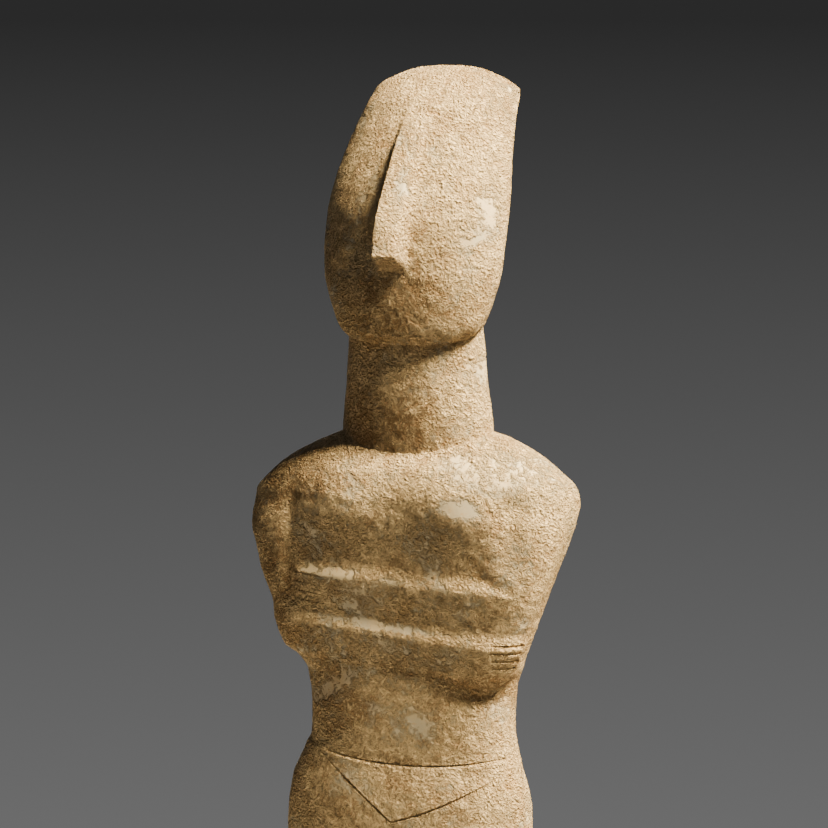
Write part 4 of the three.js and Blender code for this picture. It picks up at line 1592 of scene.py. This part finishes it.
        # Painted shade: low ground between the grains turns dark; painted highlight: raised tops turn
        # pale, as though lit
        crust = s.mix(s.ramp(height, self.painted_pit_shade), crust, self.pit)
        crust = s.mix(s.ramp(height, self.painted_top_highlight), crust, self.crust_pale)
        cracks = s.math("MULTIPLY", s.vein(self.crack), s.cloud(self.cracked))
        crust = s.mix(cracks, crust, self.pit)
        stone = s.mix(s.cloud(self.grey), self.marble, self.marble_grey)
        stone = s.mix(s.cloud(self.flecks), stone, self.crust_ochre)
        # Painted shade on bare marble too, where the spots are darker
        stone = s.mix(s.ramp(painted_light_and_tone, self.stone_brown_and_painted_shade), stone, self.crust_brown)
        # Creases are painted darker by how deep each vertex lies in one: brown deposits there, and
        # painted shade
        crease_dirt_and_shade = s.math("MULTIPLY", s.attribute("hollow"), s.cloud(self.crease_dirt_and_shade))
        colour = s.mix(s.ramp(crease_dirt_and_shade, self.crease_dirt_and_shade_share), s.mix(cover, stone, crust), self.crease_deposit_and_shade_colour)
        raised = s.math("MULTIPLY", s.math("ADD", height, self.raised), cover)
        normal = s.bump(s.noise(*self.skin), self.skin_relief, s.bump(raised, self.relief))
        s.set_surface(colour, s.ramp(cover, self.roughness), normal)
        s.surface.inputs["Specular IOR Level"].default_value = self.specular
        return s.material


@dataclass(frozen=True)
class HonedLimestone:
    """Plain grey limestone, rubbed smooth and a little dusty."""

    pale: Colour = (0.36, 0.35, 0.33)
    dark: Colour = (0.25, 0.245, 0.235)
    dust: Colour = (0.42, 0.38, 0.32)
    cloud: Cloud = Cloud(0.035, 6.0, 0.62, (0.34, 0.68), warp=0.8)
    grains: Cloud = Cloud(0.0018, 4.0, 0.7, (0.55, 0.72), (0.0, 0.45))
    dusty: Cloud = Cloud(0.012, 3.0, 0.6, (0.55, 0.8), (0.0, 0.4))
    roughness: Cloud = Cloud(0.006, 4.0, 0.6, (0.3, 0.7), (0.5, 0.68))
    skin: tuple[float, ...] = (0.0014, 4.0, 0.65)
    relief: float = 0.00009

    def material(self) -> bpy.types.Material:
        """The finish as a material.

        Returns:
            The new material.
        """
        s = Shader("honed_limestone")
        colour = s.mix(s.cloud(self.cloud), self.dark, self.pale)
        colour = s.mix(s.cloud(self.grains), colour, self.dark)
        colour = s.mix(s.cloud(self.dusty), colour, self.dust)
        s.set_surface(colour, s.cloud(self.roughness), s.bump(s.noise(*self.skin), self.relief))
        return s.material


@dataclass
class Base:
    """The low stone base, with softened edges and a seat cut to the toes."""

    figurine: Figurine
    low: Vector
    high: Vector
    edge: float = 0.0015
    corner: float = 0.003
    gap: float = 0.8
    floor_gap: float = 0.48
    seat_top: float = 28.0
    seat_rings: int = 15
    seat_columns: Columns = Columns(40, 10, 24, 8)
    corner_steps: int = 6
    edge_steps: int = 4
    sharp_angle: float = 30.0

    def slab(self) -> bpy.types.Object:
        """The slab with its corners and edges rounded.

        Returns:
            A closed mesh.
        """
        mesh = bmesh.new()
        bmesh.ops.create_cube(mesh, size=1.0)
        size, middle = self.high - self.low, (self.high + self.low) / 2.0
        for vertex in mesh.verts:
            vertex.co = Vector(a * b for a, b in zip(vertex.co, size)) + middle
        upright = [e for e in mesh.edges if abs(e.verts[0].co.z - e.verts[1].co.z) > size.z / 2.0]
        rounding = {"affect": "EDGES", "profile": 0.5}
        steps = self.corner_steps
        bmesh.ops.bevel(mesh, geom=upright, offset=self.corner, segments=steps, **rounding)
        rim = [e for e in mesh.edges if self.is_rim(e)]
        bmesh.ops.bevel(mesh, geom=rim, offset=self.edge, segments=self.edge_steps, **rounding)
        bmesh.ops.triangulate(mesh, faces=mesh.faces)
        return from_bmesh("base_slab", mesh)

    def is_rim(self, edge: bmesh.types.BMEdge) -> bool:
        """Whether an edge is level and parts the top or underside from a side.

        Args:
            edge: the edge.

        Returns:
            True for an edge that is to be softened.
        """
        if abs(edge.verts[0].co.z - edge.verts[1].co.z) > LEVEL or len(edge.link_faces) != 2:
            return False
        first, second = edge.link_faces
        return abs(first.normal.z - second.normal.z) > 0.5

    def seat(self) -> bpy.types.Object:
        """The cutter of the seat: the toes grown by the gap.

        Returns:
            A closed mesh.
        """
        body = self.figurine
        turn, front = self.seat_columns.ring()
        z = np.linspace(0.0, self.seat_top, self.seat_rings)
        z, turn = np.meshgrid(z, turn, indexing="ij")
        points, out = body.body_points(z, turn, np.broadcast_to(front, z.shape))
        points[..., :2] += out * self.gap
        floor = points[:1] - np.array([0.0, 0.0, self.floor_gap])
        return skin("seat", body.place.metres(np.concatenate([floor, points])))

    def build(self, material: bpy.types.Material) -> bpy.types.Object:
        """The finished base.

        Args:
            material: its finish.

        Returns:
            The base as one closed mesh.
        """
        slab = self.slab()
        combine(slab, [self.seat()], Operation.CUT)
        paint(slab, material)
        shade(slab, self.sharp_angle)
        return slab


def shade(obj: bpy.types.Object, angle: float) -> None:
    """Shades an object smooth, but sharp along edges that turn by more than angle degrees.

    Args:
        obj: the object.
        angle: the sharpest turn that stays smooth, in degrees.
    """
    mesh = obj.data
    mesh.polygons.foreach_set("use_smooth", [True] * len(mesh.polygons))
    mesh.set_sharp_from_angle(angle=math.radians(angle))
    mesh.update()


@dataclass(frozen=True)
class Lamp:
    """A soft square light: angles round and above the figure, distance and side in metres, and watts."""

    name: str
    turn: float
    rise: float
    away: float
    size: float
    power: float
    colour: Colour = (1.0, 0.95, 0.88)


@dataclass(frozen=True)
class Studio:
    """Camera, floor, lights and backdrop."""

    place: Place
    turn: float = 25.0
    rise: float = 6.0
    pivot: float = 735.0
    distance: float = 3500.0
    pixel: float = 0.692
    frame_pixels: float = 828.0
    pivot_right: float = 3.5
    pivot_below: float = 36.0
    sensor: float = 36.0
    far: float = 50.0
    floor_radius: float = 0.42
    floor_corners: int = 96
    floor_colour: Colour = (0.5, 0.49, 0.47)
    floor_roughness: float = 0.9
    horizon: Map = ((-0.19, -0.02), (0.160, 0.029))
    lamps: tuple[Lamp, ...] = (
        Lamp("key", 86.0, 56.0, 2.2, 0.6, 440.0, (1.0, 0.84, 0.55)),
        Lamp("fill", -20.0, 12.0, 2.6, 1.6, 1.5),
        Lamp("back", 190.0, 25.0, 2.6, 1.4, 16.0),
    )

    def toward(self, turn: float, rise: float) -> Vector:
        """Direction from the object.

        Args:
            turn: angle round it, 0 in front and positive to its left.
            rise: angle above it.

        Returns:
            The direction, of length 1.
        """
        t, r = math.radians(turn), math.radians(rise)
        return Vector((math.sin(t) * math.cos(r), -math.cos(t) * math.cos(r), math.sin(r)))

    def aim(self, obj: bpy.types.Object, turn: float, rise: float, away: float) -> None:
        """Sets an object off from the point that the camera looks towards, and faces it there.

        Args:
            obj: the camera or a light.
            turn: angle round the figure.
            rise: angle above it.
            away: distance in metres.
        """
        unit, way = self.place.unit, self.toward(turn, rise)
        pivot = Vector((0.0, self.place.set_back, self.place.foot + self.pivot * unit))
        obj.location = pivot + way * away
        obj.rotation_euler = (-way).to_track_quat("-Z", "Y").to_euler()

    def camera(self) -> None:
        """The camera at the picture's viewing angle."""
        data = bpy.data.cameras.new("camera")
        data.sensor_width = self.sensor
        half = self.frame_pixels / 2.0 * self.pixel / self.distance
        data.lens = self.sensor / 2.0 / half
        data.shift_x = -self.pivot_right / self.frame_pixels
        data.shift_y = self.pivot_below / self.frame_pixels
        data.clip_end = self.far
        camera = place_object("camera", data)
        self.aim(camera, self.turn, self.rise, self.distance * self.place.unit)
        bpy.context.scene.camera = camera

    def light(self, lamp: Lamp) -> None:
        """One light, facing the figure.

        Args:
            lamp: its place and power.
        """
        data = bpy.data.lights.new(lamp.name, "AREA")
        data.size = lamp.size
        data.energy = lamp.power
        data.color = lamp.colour
        self.aim(place_object(lamp.name, data), lamp.turn, lamp.rise, lamp.away)

    def floor(self) -> None:
        """A plain pale round floor."""
        mesh = bmesh.new()
        count, radius = self.floor_corners, self.floor_radius
        bmesh.ops.create_circle(mesh, cap_ends=True, segments=count, radius=radius)
        floor = from_bmesh("floor", mesh)
        s = Shader("pale_floor")
        s.set_surface((*self.floor_colour, 1.0), self.floor_roughness)
        paint(floor, s.material)

    def backdrop(self) -> None:
        """A plain grey surround, lighter below the horizon than above it."""
        world = bpy.data.worlds.new("surround")
        world.use_nodes = True
        world.node_tree.nodes.clear()
        graph = Graph(world.node_tree)
        place = graph.add("ShaderNodeTexCoord", {}).outputs["Generated"]
        split = graph.add("ShaderNodeSeparateXYZ", {0: place})
        (low, high), (below, above) = self.horizon
        values = {"From Min": low, "From Max": high, "To Min": below, "To Max": above}
        ramp = graph.add("ShaderNodeMapRange", {**values, "Value": split.outputs["Z"]})
        light = graph.add("ShaderNodeBackground", {"Color": ramp.outputs["Result"]})
        graph.add("ShaderNodeOutputWorld", {"Surface": light.outputs["Background"]})
        bpy.context.scene.world = world

    def build(self) -> None:
        """Sets up everything round the object."""
        self.camera()
        self.floor()
        self.backdrop()
        for lamp in self.lamps:
            self.light(lamp)


def main() -> None:
    """Builds the pieces in order and reports each one."""
    logging.basicConfig(level=logging.INFO, format="%(name)s: %(message)s")
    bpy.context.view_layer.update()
    low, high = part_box("figurine")
    place = Place(unit=(high.z - low.z) / 1000.0, set_back=SET_BACK, foot=low.z)

    Studio(place).build()
    log.info("studio set up")

    carved = Figurine(place)
    figure = carved.build()
    log.info("figurine carved: %d faces", len(figure.data.polygons))
    Weathering(place).apply(figure, CrustedMarble().material())
    shade(figure, SHARP_ANGLE)
    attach(figure, "root")
    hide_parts("figurine")
    log.info("figurine weathered: %d faces", len(figure.data.polygons))

    base = Base(carved, *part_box("base")).build(HonedLimestone().material())
    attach(base, "root")
    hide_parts("base")
    log.info("base cut: %d faces", len(base.data.polygons))


if __name__ == "__main__":
    main()
